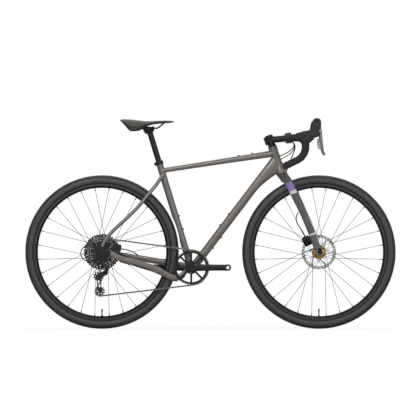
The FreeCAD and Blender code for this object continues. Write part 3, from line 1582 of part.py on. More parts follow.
arms = upper_arm.fuse([elbow_ball, lug_arm]).cut(link_rooms)
upper_pieces = [hanger_bolt, arms] + pivot_lug(hanger_pin)
keep(feature("derailleur_b_knuckle", solid_of(hanger_boss.fuse(upper_pieces).removeSplitter())))

# The lower knuckle carries the cage on a pin.

outer_plate_out = S.cage_half_gap + S.cage_plate
knuckle_near = cage_pivot - axis_y * (outer_plate_out + S.free_gap)
knuckle_far = knuckle_near - axis_y * S.knuckle_width
knuckle = rod(knuckle_near, knuckle_far, S.knuckle_radius)
cage_pin = rod(knuckle_far, cage_pivot - axis_y * (S.cage_half_gap + S.running_gap), S.cage_pin_radius)
knuckle_arm = rod(lug_middle(knuckle_pin), (knuckle_near + knuckle_far) * half, S.knuckle_arm_radius)
lower_pieces = [cage_pin, knuckle_arm] + pivot_lug(knuckle_pin)
keep(feature("derailleur_p_knuckle", solid_of(knuckle.fuse(lower_pieces).removeSplitter())))


def hull_wire(circles):
    # The tight outline round circles given anticlockwise as (spot, radius).
    count = len(circles)
    leaves = []
    arrives = [None] * count
    for index, (spot, radius) in enumerate(circles):
        after, after_radius = circles[(index + 1) % count]
        gap = after - spot
        heading = math.atan2(gap.z, gap.x) + math.asin((radius - after_radius) / gap.Length)
        across = Vec(math.sin(heading), 0, -math.cos(heading))
        leaves.append(spot + across * radius)
        arrives[(index + 1) % count] = after + across * after_radius
    edges = []
    for index, (spot, radius) in enumerate(circles):
        first = arrives[index] - spot
        last = leaves[index] - spot
        begin = math.atan2(first.z, first.x)
        sweep = (math.atan2(last.z, last.x) - begin) % (2 * math.pi)
        crest = spot + Vec(math.cos(begin + sweep * half), 0, math.sin(begin + sweep * half)) * radius
        edges.append(Part.Arc(arrives[index], crest, leaves[index]).toShape())
        edges.append(Part.LineSegment(leaves[index], arrives[(index + 1) % count]).toShape())
    return Part.Wire(edges)


def flat(spot):
    return Vec(spot.x, 0, spot.z)


# Cage: two plates joined by the pulleys' axles.

pivot_flat = flat(cage_pivot)
guide_flat = flat(guide_spot)
tension_flat = flat(tension_spot)
cage_middle = (guide_flat + tension_flat) * half
cage_run = (tension_flat - guide_flat).normalize()
cage_window = hull_wire([(cage_middle - cage_run * S.cage_window_half, S.cage_window_radius),
                         (cage_middle + cage_run * S.cage_window_half, S.cage_window_radius)])
pivot_hole = ring_wire(S.cage_pin_radius + S.running_gap, pivot_flat.x, pivot_flat.z)
outer_outline = hull_wire([(guide_flat, S.cage_lobe_radius), (tension_flat, S.cage_foot_radius)])
shoulder_outline = hull_wire([(pivot_flat, S.cage_pivot_radius), (guide_flat, S.cage_lobe_radius)])
inner_outline = hull_wire([(guide_flat, S.cage_foot_radius), (tension_flat, S.cage_foot_radius)])
plate_y = S.cage_half_gap + S.cage_plate * half
outer_plate = plate(outer_outline, [cage_window], S.cage_plate, chain_y - plate_y)
shoulder_plate = plate(shoulder_outline, [pivot_hole], S.cage_plate, chain_y - plate_y)
inner_plate = plate(inner_outline, [cage_window], S.cage_plate, chain_y + plate_y)
cage_pieces = [shoulder_plate, inner_plate]
for spot in (guide_spot, tension_spot):
    cage_pieces.append(rod(spot - axis_y * plate_y, spot + axis_y * plate_y, S.pulley_bore_radius - S.running_gap))
keep(feature("derailleur_cage", solid_of(outer_plate.fuse(cage_pieces).removeSplitter())))

pulley_radius = pitch_radius(pulley_count)
pulley_windows = 6


def pulley(label, spot):
    holes = [ring_wire(S.pulley_bore_radius)]
    for index in range(pulley_windows):
        hole = polar(S.pulley_window_circle, full_turn * index / pulley_windows)
        holes.append(ring_wire(S.pulley_window_radius, hole.x, hole.z))
    wheel = plate(toothed(pulley_count, phase_of(spot, pulley_radius)), holes, S.pulley_thickness, 0)
    hub = plate(ring_wire(S.pulley_hub_radius), [ring_wire(S.pulley_bore_radius)], S.pulley_hub_width, 0)
    shape = wheel.fuse(hub).removeSplitter()
    shape.translate(spot)
    return feature(label, solid_of(shape))


keep(pulley("jockey_upper", guide_spot))
keep(pulley("jockey_lower", tension_spot))

# Fork: a crown that flows into two legs, hollowed over the tyre, with the steerer and the axle tips.

crown_top = head_low - head_up * S.free_gap
crown_shares = (0.0, 0.3, 0.68, 1.0)
crown_length_shares = (0.0, 0.5, 0.85, 0.7)
crown_width_shares = (0.0, 0.5, 0.95, 1.0)
crown_sections = []
neck = S.head_tube_low_radius
for where, long, wide in zip(crown_shares, crown_length_shares, crown_width_shares):
    centre = crown_top - head_up * (S.fork_crown_drop * where) + head_forward * (S.fork_leg_top_forward * where)
    half_long = neck + (S.fork_crown_length * half - neck) * long
    half_wide = neck + (S.fork_crown_width * half - neck) * wide
    crown_sections.append(section(centre, -head_up, head_forward, half_long, half_wide))
crown = loft(crown_sections)
tyre_room_half = tyre_half + S.tyre_clearance
tyre_room = rod(front_axle_spot - axis_y * tyre_room_half, front_axle_spot + axis_y * tyre_room_half,
                wheel_radius + S.tyre_clearance)
tip_low_y = front_inner_y + S.fork_leg_low_width * half
leg_top = crown_top - head_up * (S.fork_crown_drop * 0.6) + head_forward * S.fork_leg_top_forward
leg_shares = (0.0, 0.25, 0.5, 0.75, 0.97)
leg_bow_shares = (0.0, 0.75, 1.0, 0.75, 0.0)
leg_size_shares = (0.0, 0.5, 1.0, 1.55, 2.0)


def in_three(first, middle, last, share):
    return between(first, middle, share) if share < 1 else between(middle, last, share - 1)


def leg_point(side, where, bow):
    spot = leg_top + (front_axle_spot - leg_top) * where + head_forward * (S.fork_leg_bow * bow)
    return spot + axis_y * (side * (S.fork_leg_top_y + (tip_low_y - S.fork_leg_top_y) * where))


fork_pieces = []
for side in (right_side, left_side):
    sections = []
    spots = [leg_point(side, where, bow) for where, bow in zip(leg_shares, leg_bow_shares)]
    last = len(spots) - 1
    for index, spot in enumerate(spots):
        ahead = spots[min(index + 1, last)] - spots[max(index - 1, 0)]
        long = in_three(S.fork_leg_top_length, S.fork_leg_mid_length, S.fork_leg_low_length, leg_size_shares[index])
        wide = in_three(S.fork_leg_top_width, S.fork_leg_mid_width, S.fork_leg_low_width, leg_size_shares[index])
        sections.append(section(spot, ahead, head_forward, long * half, wide * half, tube_power))
    fork_pieces.append(loft(sections))
    tip_out = front_inner_y + S.fork_leg_low_width
    fork_pieces.append(rod(front_axle_spot + axis_y * (side * front_inner_y),
                           front_axle_spot + axis_y * (side * tip_out), S.fork_tip_radius))
stem_low = S.free_gap + S.headset_cover_height + S.spacer_height + S.fit_gap * 2
stem_high = stem_low + S.stem_clamp_height
steerer = rod(crown_top - head_up * S.fork_crown_drop * half, head_high + head_up * (stem_high - S.fit_gap * 2),
              S.steerer_radius)
hub_room = rod(front_axle_spot - axis_y * front_inner_y, front_axle_spot + axis_y * front_inner_y,
               S.flange_radius + S.tyre_clearance)
axle_way = rod(front_axle_spot - axis_y * S.front_hub_width, front_axle_spot + axis_y * S.front_hub_width, axle_hole)
fork_shape = crown.fuse(fork_pieces + [steerer]).cut(tyre_room).cut(hub_room).cut(axle_way)
fork = keep(feature("fork", sorted(fork_shape.Solids, key=lambda solid: solid.Volume)[-1]))

fork_out = front_inner_y + S.fork_leg_low_width
front_axle = turned("front_axle", [
    (0, -fork_out),
    (S.axle_radius, -fork_out),
    (S.axle_radius, fork_out + S.fit_gap),
    (S.axle_head_radius, fork_out + S.fit_gap),
    (S.axle_head_radius, fork_out + S.axle_head_width),
    (0, fork_out + S.axle_head_width),
], at(front_axle_spot))
keep(front_axle)

# Headset cover, spacer and top cap on the steerer.

stack_bore = S.steerer_radius + S.fit_gap
spacer_radius = S.steerer_radius + S.spacer_wall
cover_top = S.free_gap + S.headset_cover_height
cover = turned("headset_cover", [
    (stack_bore, S.free_gap),
    (S.head_tube_top_radius, S.free_gap),
    (S.head_tube_top_radius, S.free_gap + S.headset_cover_height * half * half),
    (spacer_radius, cover_top),
    (stack_bore, cover_top),
], at(head_high, head_up))
spacer = turned("headset_spacer", [
    (stack_bore, cover_top + S.fit_gap),
    (spacer_radius, cover_top + S.fit_gap),
    (spacer_radius, cover_top + S.fit_gap + S.spacer_height),
    (stack_bore, cover_top + S.fit_gap + S.spacer_height),
], at(head_high, head_up))
cap_low = stem_high + S.fit_gap
top_cap = turned("stem_top_cap", [
    (0, cap_low),
    (S.stem_clamp_radius - S.spacer_wall * half, cap_low),
    (S.stem_clamp_radius - S.spacer_wall * half, cap_low + S.top_cap_height * half),
    (S.stem_clamp_radius - S.spacer_wall, cap_low + S.top_cap_height),
    (S.stem_bolt_head_radius, cap_low + S.top_cap_height),
    (S.stem_bolt_head_radius, cap_low + S.top_cap_height * half),
    (0, cap_low + S.top_cap_height * half),
], at(head_high, head_up))
keep(group("headset_spacers", [cover, spacer, top_cap]))

# Stem: steerer clamp with its split ears, a neck, and the rear half of the bar's clamp.

stem_spot = head_high + head_up * (stem_low + S.stem_clamp_height * half)
right_angle = 90.0
stem_tilt = right_angle - S.head_angle - S.stem_drop_angle
stem_along = Vec(cosine(stem_tilt), 0, sine(stem_tilt))
stem_up = Vec(-stem_along.z, 0, stem_along.x)
bar_spot = stem_spot + stem_along * S.stem_length
clamp_low = head_high + head_up * stem_low
clamp_high = head_high + head_up * stem_high
stem_clamp = rod(clamp_low, clamp_high, S.stem_clamp_radius)
neck_shares = (0.0, 0.5, 1.0)
neck_height_shares = (1.12, 1.0, 1.0)
neck_sections = []
for where, tall in zip(neck_shares, neck_height_shares):
    neck_sections.append(section(stem_spot + stem_along * (S.stem_length * where), stem_along, stem_up,
                                 S.stem_neck_height * tall * half, S.stem_neck_width * half, tube_power))
stem_neck = loft(neck_sections)
half_face = S.stem_face_width * half
face_drum = rod(bar_spot - axis_y * half_face, bar_spot + axis_y * half_face, S.stem_face_radius)
ear_length = S.stem_clamp_radius + S.stem_bolt_head_radius * 2
ear_base = clamp_low - axis_y * (S.stem_clamp_radius * half)
ear_face = Part.Face(Part.makePolygon([ear_base, ear_base - head_forward * ear_length,
                                       ear_base - head_forward * ear_length + head_up * S.stem_clamp_height,
                                       ear_base + head_up * S.stem_clamp_height, ear_base]))
ears = ear_face.extrude(axis_y * S.stem_clamp_radius)
slit_base = clamp_low - head_up * S.cut_overrun - axis_y * (S.stem_face_gap * half)
slit_tall = head_up * (S.stem_clamp_height + S.cut_overrun * 2)
slit_long = head_forward * (ear_length + S.cut_overrun)
slit_face = Part.Face(Part.makePolygon([slit_base, slit_base - slit_long, slit_base - slit_long + slit_tall,
                                        slit_base + slit_tall, slit_base]))
ear_slit = slit_face.extrude(axis_y * S.stem_face_gap)
steerer_way = rod(clamp_low - head_up * S.cut_overrun, clamp_high + head_up * S.cut_overrun, stack_bore)
bar_way = rod(bar_spot - axis_y * S.stem_length, bar_spot + axis_y * S.stem_length, S.bar_clamp_radius + S.fit_gap)


def face_box(offset):
    # Everything ahead of the plane across the stem at the given offset from the bar's centre.
    wide = S.stem_face_width + S.cut_overrun
    tall = (S.stem_face_radius + S.cut_overrun) * 2
    corner = bar_spot + stem_along * offset - axis_y * (wide * half) - stem_up * (tall * half)
    face = Part.Face(Part.makePolygon([corner, corner + axis_y * wide, corner + axis_y * wide + stem_up * tall,
                                       corner + stem_up * tall, corner]))
    return face.extrude(stem_along * (S.stem_face_radius + S.cut_overrun))


bolt_rise = S.bar_clamp_radius + S.stem_bolt_radius + S.free_gap
bolt_out = half_face - S.stem_bolt_inset
bolt_lines = []
for up in (1, -1):
    for side in (right_side, left_side):
        bolt_lines.append(bar_spot + stem_up * (up * bolt_rise) + axis_y * (side * bolt_out))
lug_front = S.stem_face_radius * half
bolt_holes = []
face_lugs = []
face_bolts = []
head_rooms = []
for spot in bolt_lines:
    deep = spot - stem_along * S.stem_face_radius
    bolt_holes.append(rod(deep, spot + stem_along * S.stem_face_radius, S.stem_bolt_radius + S.fit_gap))
    face_lugs.append(rod(spot - stem_along * lug_front, spot + stem_along * lug_front, S.stem_bolt_inset))
    seat = spot + stem_along * (lug_front + S.fit_gap)
    shank = rod(deep + stem_along * S.stem_bolt_radius, seat, S.stem_bolt_radius)
    head = rod(seat, seat + stem_along * S.stem_bolt_head_height, S.stem_bolt_head_radius)
    head_rooms.append(rod(seat - stem_along * S.fit_gap, seat + stem_along * S.stem_face_radius,
                          S.stem_bolt_head_radius + S.fit_gap))
    face_bolts.append(solid_of(shank.fuse(head).removeSplitter()))
ear_bolts = []
ear_holes = []
ear_shares = (0.25, 0.75)
ear_x = S.stem_clamp_radius + S.stem_bolt_head_radius
ear_half = S.stem_clamp_radius * half
for share in ear_shares:
    spot = clamp_low + head_up * (S.stem_clamp_height * share) - head_forward * ear_x
    ear_holes.append(rod(spot - axis_y * S.stem_clamp_radius, spot + axis_y * S.stem_clamp_radius,
                         S.stem_bolt_radius + S.fit_gap))
    seat = spot - axis_y * (ear_half + S.fit_gap)
    shank = rod(seat, spot + axis_y * ear_half, S.stem_bolt_radius)
    head = rod(seat - axis_y * S.stem_bolt_head_height, seat, S.stem_bolt_head_radius)
    ear_bolts.append(solid_of(shank.fuse(head).removeSplitter()))
stem_solid = stem_clamp.fuse([stem_neck, face_drum, ears] + face_lugs)
stem_shape = stem_solid.cut(face_box(-S.stem_face_gap * half)).cut(steerer_way).cut(bar_way).cut(ear_slit)
spacer_room = rod(head_high, clamp_low, S.head_tube_low_radius)
stem_shape = stem_shape.cut(bolt_holes + ear_holes + [spacer_room]).removeSplitter()
keep(feature("stem", sorted(stem_shape.Solids, key=lambda solid: solid.Volume)[-1]))
faceplate_shape = face_drum.fuse(face_lugs).common(face_box(S.stem_face_gap * half))
faceplate_shape = faceplate_shape.cut(bar_way).cut(bolt_holes).cut(head_rooms)
keep(feature("stem_faceplate", solid_of(faceplate_shape.removeSplitter())))
cap_seat = head_high + head_up * (cap_low + S.top_cap_height * half + S.fit_gap)
cap_bolt = rod(cap_seat, cap_seat + head_up * (S.top_cap_height * half), S.stem_bolt_head_radius - S.fit_gap)
keep(feature("cockpit_bolts", Part.makeCompound(face_bolts + ear_bolts + [cap_bolt])))

# Handlebar: a clamped middle, forward ramps, and drops that flare outward.

bar_half = S.bar_width * half
bar_flare_shares = (-0.28, 0.0, 0.33, 1.0)
bar_bends = [S.bar_corner_radius, S.bar_front_radius, S.bar_knee_radius]


def bar_route(side):
    # Corner, front, knee and end of one half.
    offsets = [(0, 0), (S.bar_reach, S.bar_ramp_rise), (S.bar_reach, -S.bar_knee_drop),
               (-S.bar_end_back, -S.bar_drop)]
    route = []
    for (x, z), share in zip(offsets, bar_flare_shares):
        route.append(bar_spot + Vec(x, side * (bar_half + S.bar_flare * share), z))
    return route


def tape_route(side, reach):
    # The taped length of one half, longer by the given reach at both ends.
    route = bar_route(side)
    tail = route[-1] - route[-2]
    tail.normalize()
    route[-1] = route[-1] + tail * reach
    return [bar_spot + axis_y * (side * (S.tape_start_y - reach))] + route


bar_wire, bar_radii = rounded(list(reversed(bar_route(left_side))) + bar_route(right_side),
                              list(reversed(bar_bends)) + bar_bends)
bulge_end = S.bar_clamp_half + S.bar_taper
bulge = turned_shape([
    (0, -bulge_end),
    (S.bar_radius, -bulge_end),
    (S.bar_clamp_radius, -S.bar_clamp_half),
    (S.bar_clamp_radius, S.bar_clamp_half),
    (S.bar_radius, bulge_end),
    (0, bulge_end),
], bar_spot, axis_y)
keep(feature("handlebar", solid_of(pipe(bar_wire, S.bar_radius).fuse(bulge).removeSplitter())))
tapes = []
plugs = []
for side in (right_side, left_side):
    sleeve = pipe(rounded(tape_route(side, 0), bar_bends)[0], S.tape_radius)
    core = pipe(rounded(tape_route(side, S.cut_overrun), bar_bends)[0], S.bar_radius + S.fit_gap)
    tapes.append(solid_of(sleeve.cut(core)))
    end = bar_route(side)[-1]
    tail = end - bar_route(side)[-2]
    tail.normalize()
    plugs.append(turned_shape([
        (0, S.fit_gap),
        (S.tape_radius, S.fit_gap),
        (S.tape_radius, S.plug_length * half),
        (S.bar_radius, S.plug_length),
        (0, S.plug_length),
    ], end, tail))
keep(feature("bar_tape", Part.makeCompound(tapes)))
keep(feature("bar_end_plugs", Part.makeCompound(plugs)))

# Lever bodies: a grip over the bar's front bend and an upright horn, slotted for the blade.

hood_power = 2.6
grip_shares = (0.048, 0.314, 0.58, 0.824, 0.952)
grip_low_shares = (0.211, 0.073, 0.16, 0.289, 0.392)
grip_high_shares = (0.453, 0.522, 0.582, 0.608, 0.565)
grip_width_shares = (0.88, 1.0, 1.0, 0.94, 0.65)
horn_shares = (0.392, 0.694, 0.866, 0.987)
horn_back_shares = (0.484, 0.484, 0.559, 0.654)
horn_front_shares = (0.963, 0.973, 0.973, 0.878)
horn_width_shares = (0.88, 0.82, 0.76, 0.53)
hood_back_x = bar_spot.x + S.bar_reach - S.hood_back
hood_low_z = bar_spot.z - S.hood_low
lever_pivot = bar_spot + Vec(S.bar_reach + S.lever_pivot_forward, 0, S.lever_pivot_rise)
slot_half = S.lever_thickness * half + S.free_gap
slot_front = S.lever_eye_radius * 2
slot_corners = [(-S.lever_slot_back, S.lever_slot_back), (slot_front, S.lever_slot_back),
                (slot_front, -S.lever_slot_drop), (-S.lever_slot_reach, -S.lever_slot_drop),
                (-S.lever_slot_reach, -S.lever_slot_drop * half), (-S.lever_slot_back, 0)]
pin_half = S.hood_half_width * half


def lever_body(side):
    y = side * bar_half
    grip = []
    for x, low, high, wide in zip(grip_shares, grip_low_shares, grip_high_shares, grip_width_shares):
        centre = Vec(hood_back_x + S.hood_reach * x, y, hood_low_z + S.hood_rise * (low + high) * half)
        grip.append(section(centre, axis_x, axis_z, S.hood_rise * (high - low) * half,
                            S.hood_half_width * wide, hood_power))
    horn = []
    for z, back, front, wide in zip(horn_shares, horn_back_shares, horn_front_shares, horn_width_shares):
        centre = Vec(hood_back_x + S.hood_reach * (back + front) * half, y, hood_low_z + S.hood_rise * z)
        horn.append(section(centre, axis_z, axis_x, S.hood_reach * (front - back) * half,
                            S.hood_half_width * wide, hood_power))
    bar_room = pipe(rounded(tape_route(side, S.cut_overrun), bar_bends)[0], S.tape_radius + S.fit_gap)
    spot = lever_pivot + axis_y * y
    corners = [spot + Vec(x, -slot_half, z) for x, z in slot_corners]
    slot = Part.Face(Part.makePolygon(corners + [corners[0]])).extrude(axis_y * (slot_half * 2))
    pin = rod(spot - axis_y * pin_half, spot + axis_y * pin_half, S.lever_pin_radius)
    body = loft(grip).fuse(loft(horn)).cut(bar_room).cut(slot)
    body = sorted(body.Solids, key=lambda solid: solid.Volume)[-1]
    return solid_of(body.fuse(pin))


keep(feature("lever_hoods", Part.makeCompound([lever_body(right_side), lever_body(left_side)])))

# Brake levers: a curved blade below a round eye.

blade_power = 2.8
blade_x_shares = (0.0, 0.018, 0.04, 0.072, 0.102, 0.15, 0.205)
blade_z_shares = (0.0, -0.2, -0.4, -0.62, -0.813, -0.93, -0.99)
blade_deep_shares = (0.11, 0.118, 0.115, 0.105, 0.09, 0.072, 0.045)
blade_wide_shares = (1.0, 1.0, 1.0, 1.0, 0.96, 0.9, 0.7)


def lever_blade():
    points = []
    for x, z in zip(blade_x_shares, blade_z_shares):
        points.append(Vec(x * S.lever_length, 0, z * S.lever_length))
    depths = [share * S.lever_length for share in blade_deep_shares]
    widths = [share * S.lever_thickness for share in blade_wide_shares]
    return along_path(points, depths, widths, axis_x, blade_power)


half_lever = S.lever_thickness * half
lever_eye = rod(axis_y * -half_lever, axis_y * half_lever, S.lever_eye_radius)
lever_hole = rod(axis_y * -S.lever_thickness, axis_y * S.lever_thickness, S.lever_pin_radius + S.running_gap)
lever_shape = lever_blade().fuse(lever_eye).removeSplitter()

# Shift paddle: a barrel on the right lever's pin, with a thin fin below.

back_high = Vec(blade_x_shares[1], 0, blade_z_shares[1])
back_low = Vec(blade_x_shares[3], 0, blade_z_shares[3])
paddle_down = back_low - back_high
paddle_down.normalize()
paddle_ahead = Vec(-paddle_down.z, 0, paddle_down.x)
paddle_spot = Vec(-S.paddle_back, 0, -S.paddle_drop)
barrel_half = S.paddle_barrel_length * half
lug_from = barrel_half + S.free_gap
lug_to = lug_from + S.paddle_lug_length
paddle_lugs = []
for way in (1, -1):
    near = paddle_spot + paddle_down * (way * lug_from)
    far = paddle_spot + paddle_down * (way * lug_to)
    paddle_lugs.append(rod(near, far, S.paddle_barrel_radius))
    corner = near - axis_y * S.paddle_barrel_radius
    reach = paddle_ahead * (S.paddle_back + S.lever_round)
    web = Part.Face(Part.makePolygon([corner, corner + reach, corner + reach + far - near,
                                      corner + far - near, corner]))
    paddle_lugs.append(web.extrude(axis_y * (S.paddle_barrel_radius * 2)))
paddle_pin = rod(paddle_spot - paddle_down * lug_to, paddle_spot + paddle_down * lug_to, S.paddle_pin_radius)
right_lever = lever_shape.fuse(paddle_lugs + [paddle_pin]).removeSplitter().cut(lever_hole)
left_lever = lever_shape.cut(lever_hole)
right_pivot = lever_pivot - axis_y * bar_half
left_pivot = lever_pivot + axis_y * bar_half
right_lever.translate(right_pivot)
left_lever.translate(left_pivot)
keep(feature("brake_lever_right", solid_of(right_lever)))
keep(feature("brake_lever_left", solid_of(left_lever)))
fin_rear_shares = (-0.62, -0.62, -0.48)
fin_front = S.paddle_width * 0.36
fin_neck = -(S.paddle_barrel_radius + S.free_gap * 2)
fin_top = lug_to + S.free_gap
fin_corners = [
    (0, -barrel_half),
    (0, barrel_half),
    (fin_neck, barrel_half),
    (fin_neck, fin_top),
    (fin_front, fin_top),
    (fin_front, S.paddle_length - S.paddle_barrel_radius),
    (0, S.paddle_length),
    (S.paddle_width * fin_rear_shares[2], S.paddle_length - S.paddle_barrel_radius),
    (S.paddle_width * fin_rear_shares[1], S.paddle_length * half),
    (S.paddle_width * fin_rear_shares[0], 0),
]
paddle_low = paddle_spot - axis_y * (S.paddle_thickness * half)
fin_points = [paddle_low + paddle_ahead * ahead + paddle_down * down for ahead, down in fin_corners]
fin = Part.Face(Part.makePolygon(fin_points + [fin_points[0]])).extrude(axis_y * S.paddle_thickness)
barrel_ends = (paddle_spot - paddle_down * barrel_half, paddle_spot + paddle_down * barrel_half)
barrel = rod(barrel_ends[0], barrel_ends[1], S.paddle_barrel_radius)
barrel_bore = rod(barrel_ends[0], barrel_ends[1], S.paddle_pin_radius + S.running_gap)
paddle = barrel.fuse(fin).cut(barrel_bore).removeSplitter()
paddle.translate(right_pivot)
keep(feature("shift_paddle", solid_of(paddle)))

# Seat collar: a split band with a cross bolt behind.

collar_in = S.seat_tube_radius + S.fit_gap
collar_out = collar_in + S.seat_collar_wall
collar_low = seat_top - seat_up * S.seat_collar_height
collar_band = rod(collar_low, seat_top, collar_out)
ear_from = collar_low - axis_y * S.seat_collar_ear
ear_run = -seat_forward * (collar_out + S.seat_collar_ear * half)
collar_tall = seat_up * S.seat_collar_height
collar_ear = Part.Face(Part.makePolygon([ear_from, ear_from + ear_run, ear_from + ear_run + collar_tall,
                                         ear_from + collar_tall, ear_from])).extrude(axis_y * (S.seat_collar_ear * 2))
split_from = collar_low - axis_y * (S.seat_collar_slot * half) - seat_up * S.cut_overrun
split_run = -seat_forward * (collar_out + S.seat_collar_ear)
split_tall = seat_up * (S.seat_collar_height + S.cut_overrun * 2)
collar_split = Part.Face(Part.makePolygon([split_from, split_from + split_run, split_from + split_run + split_tall,
                                           split_from + split_tall, split_from])).extrude(axis_y * S.seat_collar_slot)
collar_bolt_spot = collar_low + collar_tall * half - seat_forward * (collar_out + S.fit_gap)
collar_hole = rod(collar_bolt_spot - axis_y * collar_out, collar_bolt_spot + axis_y * collar_out,
                  S.seat_collar_bolt_radius + S.fit_gap)
collar_bolt_seat = collar_bolt_spot - axis_y * (S.seat_collar_ear + S.fit_gap)
collar_bolt = rod(collar_bolt_seat, collar_bolt_spot + axis_y * S.seat_collar_ear, S.seat_collar_bolt_radius)
collar_head = rod(collar_bolt_seat - axis_y * S.seat_collar_bolt_radius, collar_bolt_seat, S.seat_collar_ear * half)
collar_way = rod(collar_low - seat_up * S.cut_overrun, seat_top + seat_up * S.cut_overrun, collar_in)
collar = collar_band.fuse(collar_ear).cut(collar_way).cut(collar_split).cut(collar_hole).removeSplitter()
keep(feature("seat_collar", Part.makeCompound([solid_of(collar), solid_of(collar_bolt.fuse(collar_head))])))

# Seatpost with its cradle, the clamp over it, and the saddle's rails between them.

post_low = seat_top - seat_up * S.seatpost_insertion
post_high = post_low + seat_up * S.seatpost_length
rail_spot = post_high + seat_up * S.post_head_rise
cradle_power = 4.0
cradle_shares = (-1.0, -0.5, 0.0)
cradle_long_shares = (0.5, 0.86, 1.0)
cradle_wide_shares = (0.5, 0.72, 1.0)
half_head = S.post_head_length * half
half_wide = S.post_head_width * half
cradle_sections = []
for z, long, wide in zip(cradle_shares, cradle_long_shares, cradle_wide_shares):
    centre = rail_spot + axis_z * (S.post_head_height * z - S.fit_gap)
    cradle_sections.append(section(centre, axis_z, axis_x, half_head * long, half_wide * wide, cradle_power))
cap_sections = []
cap_shares = (0.0, 0.6, 1.0)
cap_size_shares = (1.0, 0.94, 0.8)
for z, grown in zip(cap_shares, cap_size_shares):
    centre = rail_spot + axis_z * (S.clamp_plate_height * z + S.fit_gap)
    cap_sections.append(section(centre, axis_z, axis_x, half_head * grown, half_wide * grown, cradle_power))


def rail_route(side):
    flat_half = S.rail_flat * half
    y = side * S.rail_spread
    return [
        rail_spot + Vec(-flat_half - S.rail_rear_run, side * S.rail_rear_spread, S.rail_rear_rise),
        rail_spot + Vec(-flat_half, y, 0),
        rail_spot + Vec(flat_half, y, 0),
        rail_spot + Vec(flat_half + S.rail_nose_run, side * S.rail_nose_spread, S.rail_nose_rise),
    ]


rail_pair = []
rail_rooms = []
for side in (right_side, left_side):
    rail_wire, rail_radii = rounded(rail_route(side), [S.rail_flat * half * half, S.rail_nose_run * half])
    rail_pair.append(solid_of(pipe(rail_wire, S.rail_radius)))
    rail_rooms.append(pipe(rail_wire, S.rail_radius + S.fit_gap))
keep(feature("saddle_rails", Part.makeCompound(rail_pair)))
clamp_holes = []
clamp_bolts = []
for way in (1, -1):
    spot = rail_spot + axis_x * (way * (half_head - S.clamp_bolt_inset))
    low = spot - axis_z * (S.post_head_height * half)
    high = spot + axis_z * (S.clamp_plate_height + S.clamp_bolt_radius)
    clamp_holes.append(rod(low - axis_z * S.clamp_bolt_radius, high, S.clamp_bolt_radius + S.fit_gap))
    clamp_bolts.append(rod(low, high, S.clamp_bolt_radius))
    clamp_bolts.append(rod(spot + axis_z * S.clamp_plate_height * half, high, S.clamp_bolt_head_radius))
cradle = loft(cradle_sections).cut(rail_rooms).cut(clamp_holes)
post = rod(post_low, post_high, S.seatpost_radius).cut(rail_rooms)
post_room = rod(rail_spot, rail_spot + axis_z * S.post_head_height, S.post_head_length)
post_shape = cradle.fuse(post.cut(post_room).cut(clamp_holes)).removeSplitter()
keep(feature("seatpost", sorted(post_shape.Solids, key=lambda solid: solid.Volume)[-1]))
clamp_shape = loft(cap_sections).cut(rail_rooms).fuse(clamp_bolts).removeSplitter()
keep(feature("saddle_clamp", solid_of(clamp_shape)))

# Saddle: a crowned cover with drawn-in sides over a thin base.

saddle_shares = (0.0, 0.05, 0.18, 0.27, 0.38, 0.5, 0.6, 0.78, 0.93, 1.0)
saddle_top_shares = (-0.05, 0.02, 0.0, -0.04, -0.09, -0.145, -0.127, -0.09, -0.1, -0.15)
saddle_low_shares = (-0.13, -0.33, -0.93, -0.97, -0.87, -0.6, -0.44, -0.35, -0.3, -0.24)
saddle_wide_shares = (0.42, 0.66, 0.96, 1.0, 0.92, 0.67, 0.49, 0.33, 0.27, 0.15)
edge_wide_share = 0.86
edge_high_share = 0.36
crest_wide_share = 0.8
crest_high_share = 0.84
saddle_rear = rail_spot.x - S.saddle_setback
saddle_top = rail_spot.z + S.saddle_rise


def arch(x, wide, low, high):
    # A flat foot, two bulging sides and a crowned top.
    tall = high - low
    spots = [Vec(x, -wide * edge_wide_share, low), Vec(x, -wide, low + tall * edge_high_share),
             Vec(x, -wide * crest_wide_share, low + tall * crest_high_share), Vec(x, 0, high)]
    mates = [Vec(spot.x, -spot.y, spot.z) for spot in spots[:3]]
    return Part.Wire([
        Part.Arc(spots[0], spots[1], spots[2]).toShape(),
        Part.Arc(spots[2], spots[3], mates[2]).toShape(),
        Part.Arc(mates[2], mates[1], mates[0]).toShape(),
        Part.LineSegment(mates[0], spots[0]).toShape(),
    ])


def saddle_form(length_share, wide_share, high_share, drop):
    sections = []
    for x, top, low, wide in zip(saddle_shares, saddle_top_shares, saddle_low_shares, saddle_wide_shares):
        along = half + (x - half) * length_share
        foot = saddle_top + S.saddle_depth * low
        crown_z = foot + S.saddle_depth * (top - low) * high_share
        sections.append(arch(saddle_rear + S.saddle_length * along, S.saddle_width * half * wide * wide_share,
                             foot - drop, crown_z))
    return loft(sections)


base_shares = (0.92, 0.83, 0.6)
base_core_shares = (0.88, 0.72, 0.42)
# The base fills the cover's hollow exactly, so the two meet over one common face.
base_block = saddle_form(*base_shares, S.free_gap)
cover_shape = saddle_form(1, 1, 1, 0).cut(base_block).cut(rail_rooms)
keep(feature("saddle_cover", sorted(cover_shape.Solids, key=lambda solid: solid.Volume)[-1]))
base_shape = base_block.cut(saddle_form(*base_core_shares, S.free_gap + S.free_gap)).cut(rail_rooms)
keep(feature("saddle_base", sorted(base_shape.Solids, key=lambda solid: solid.Volume)[-1]))

# Brake calipers: a body astride the rotor with its piston cap and two bolts.

caliper_shares = (-1.0, -0.72, 0.72, 1.0)
caliper_size_shares = (0.8, 1.0, 1.0, 0.8)


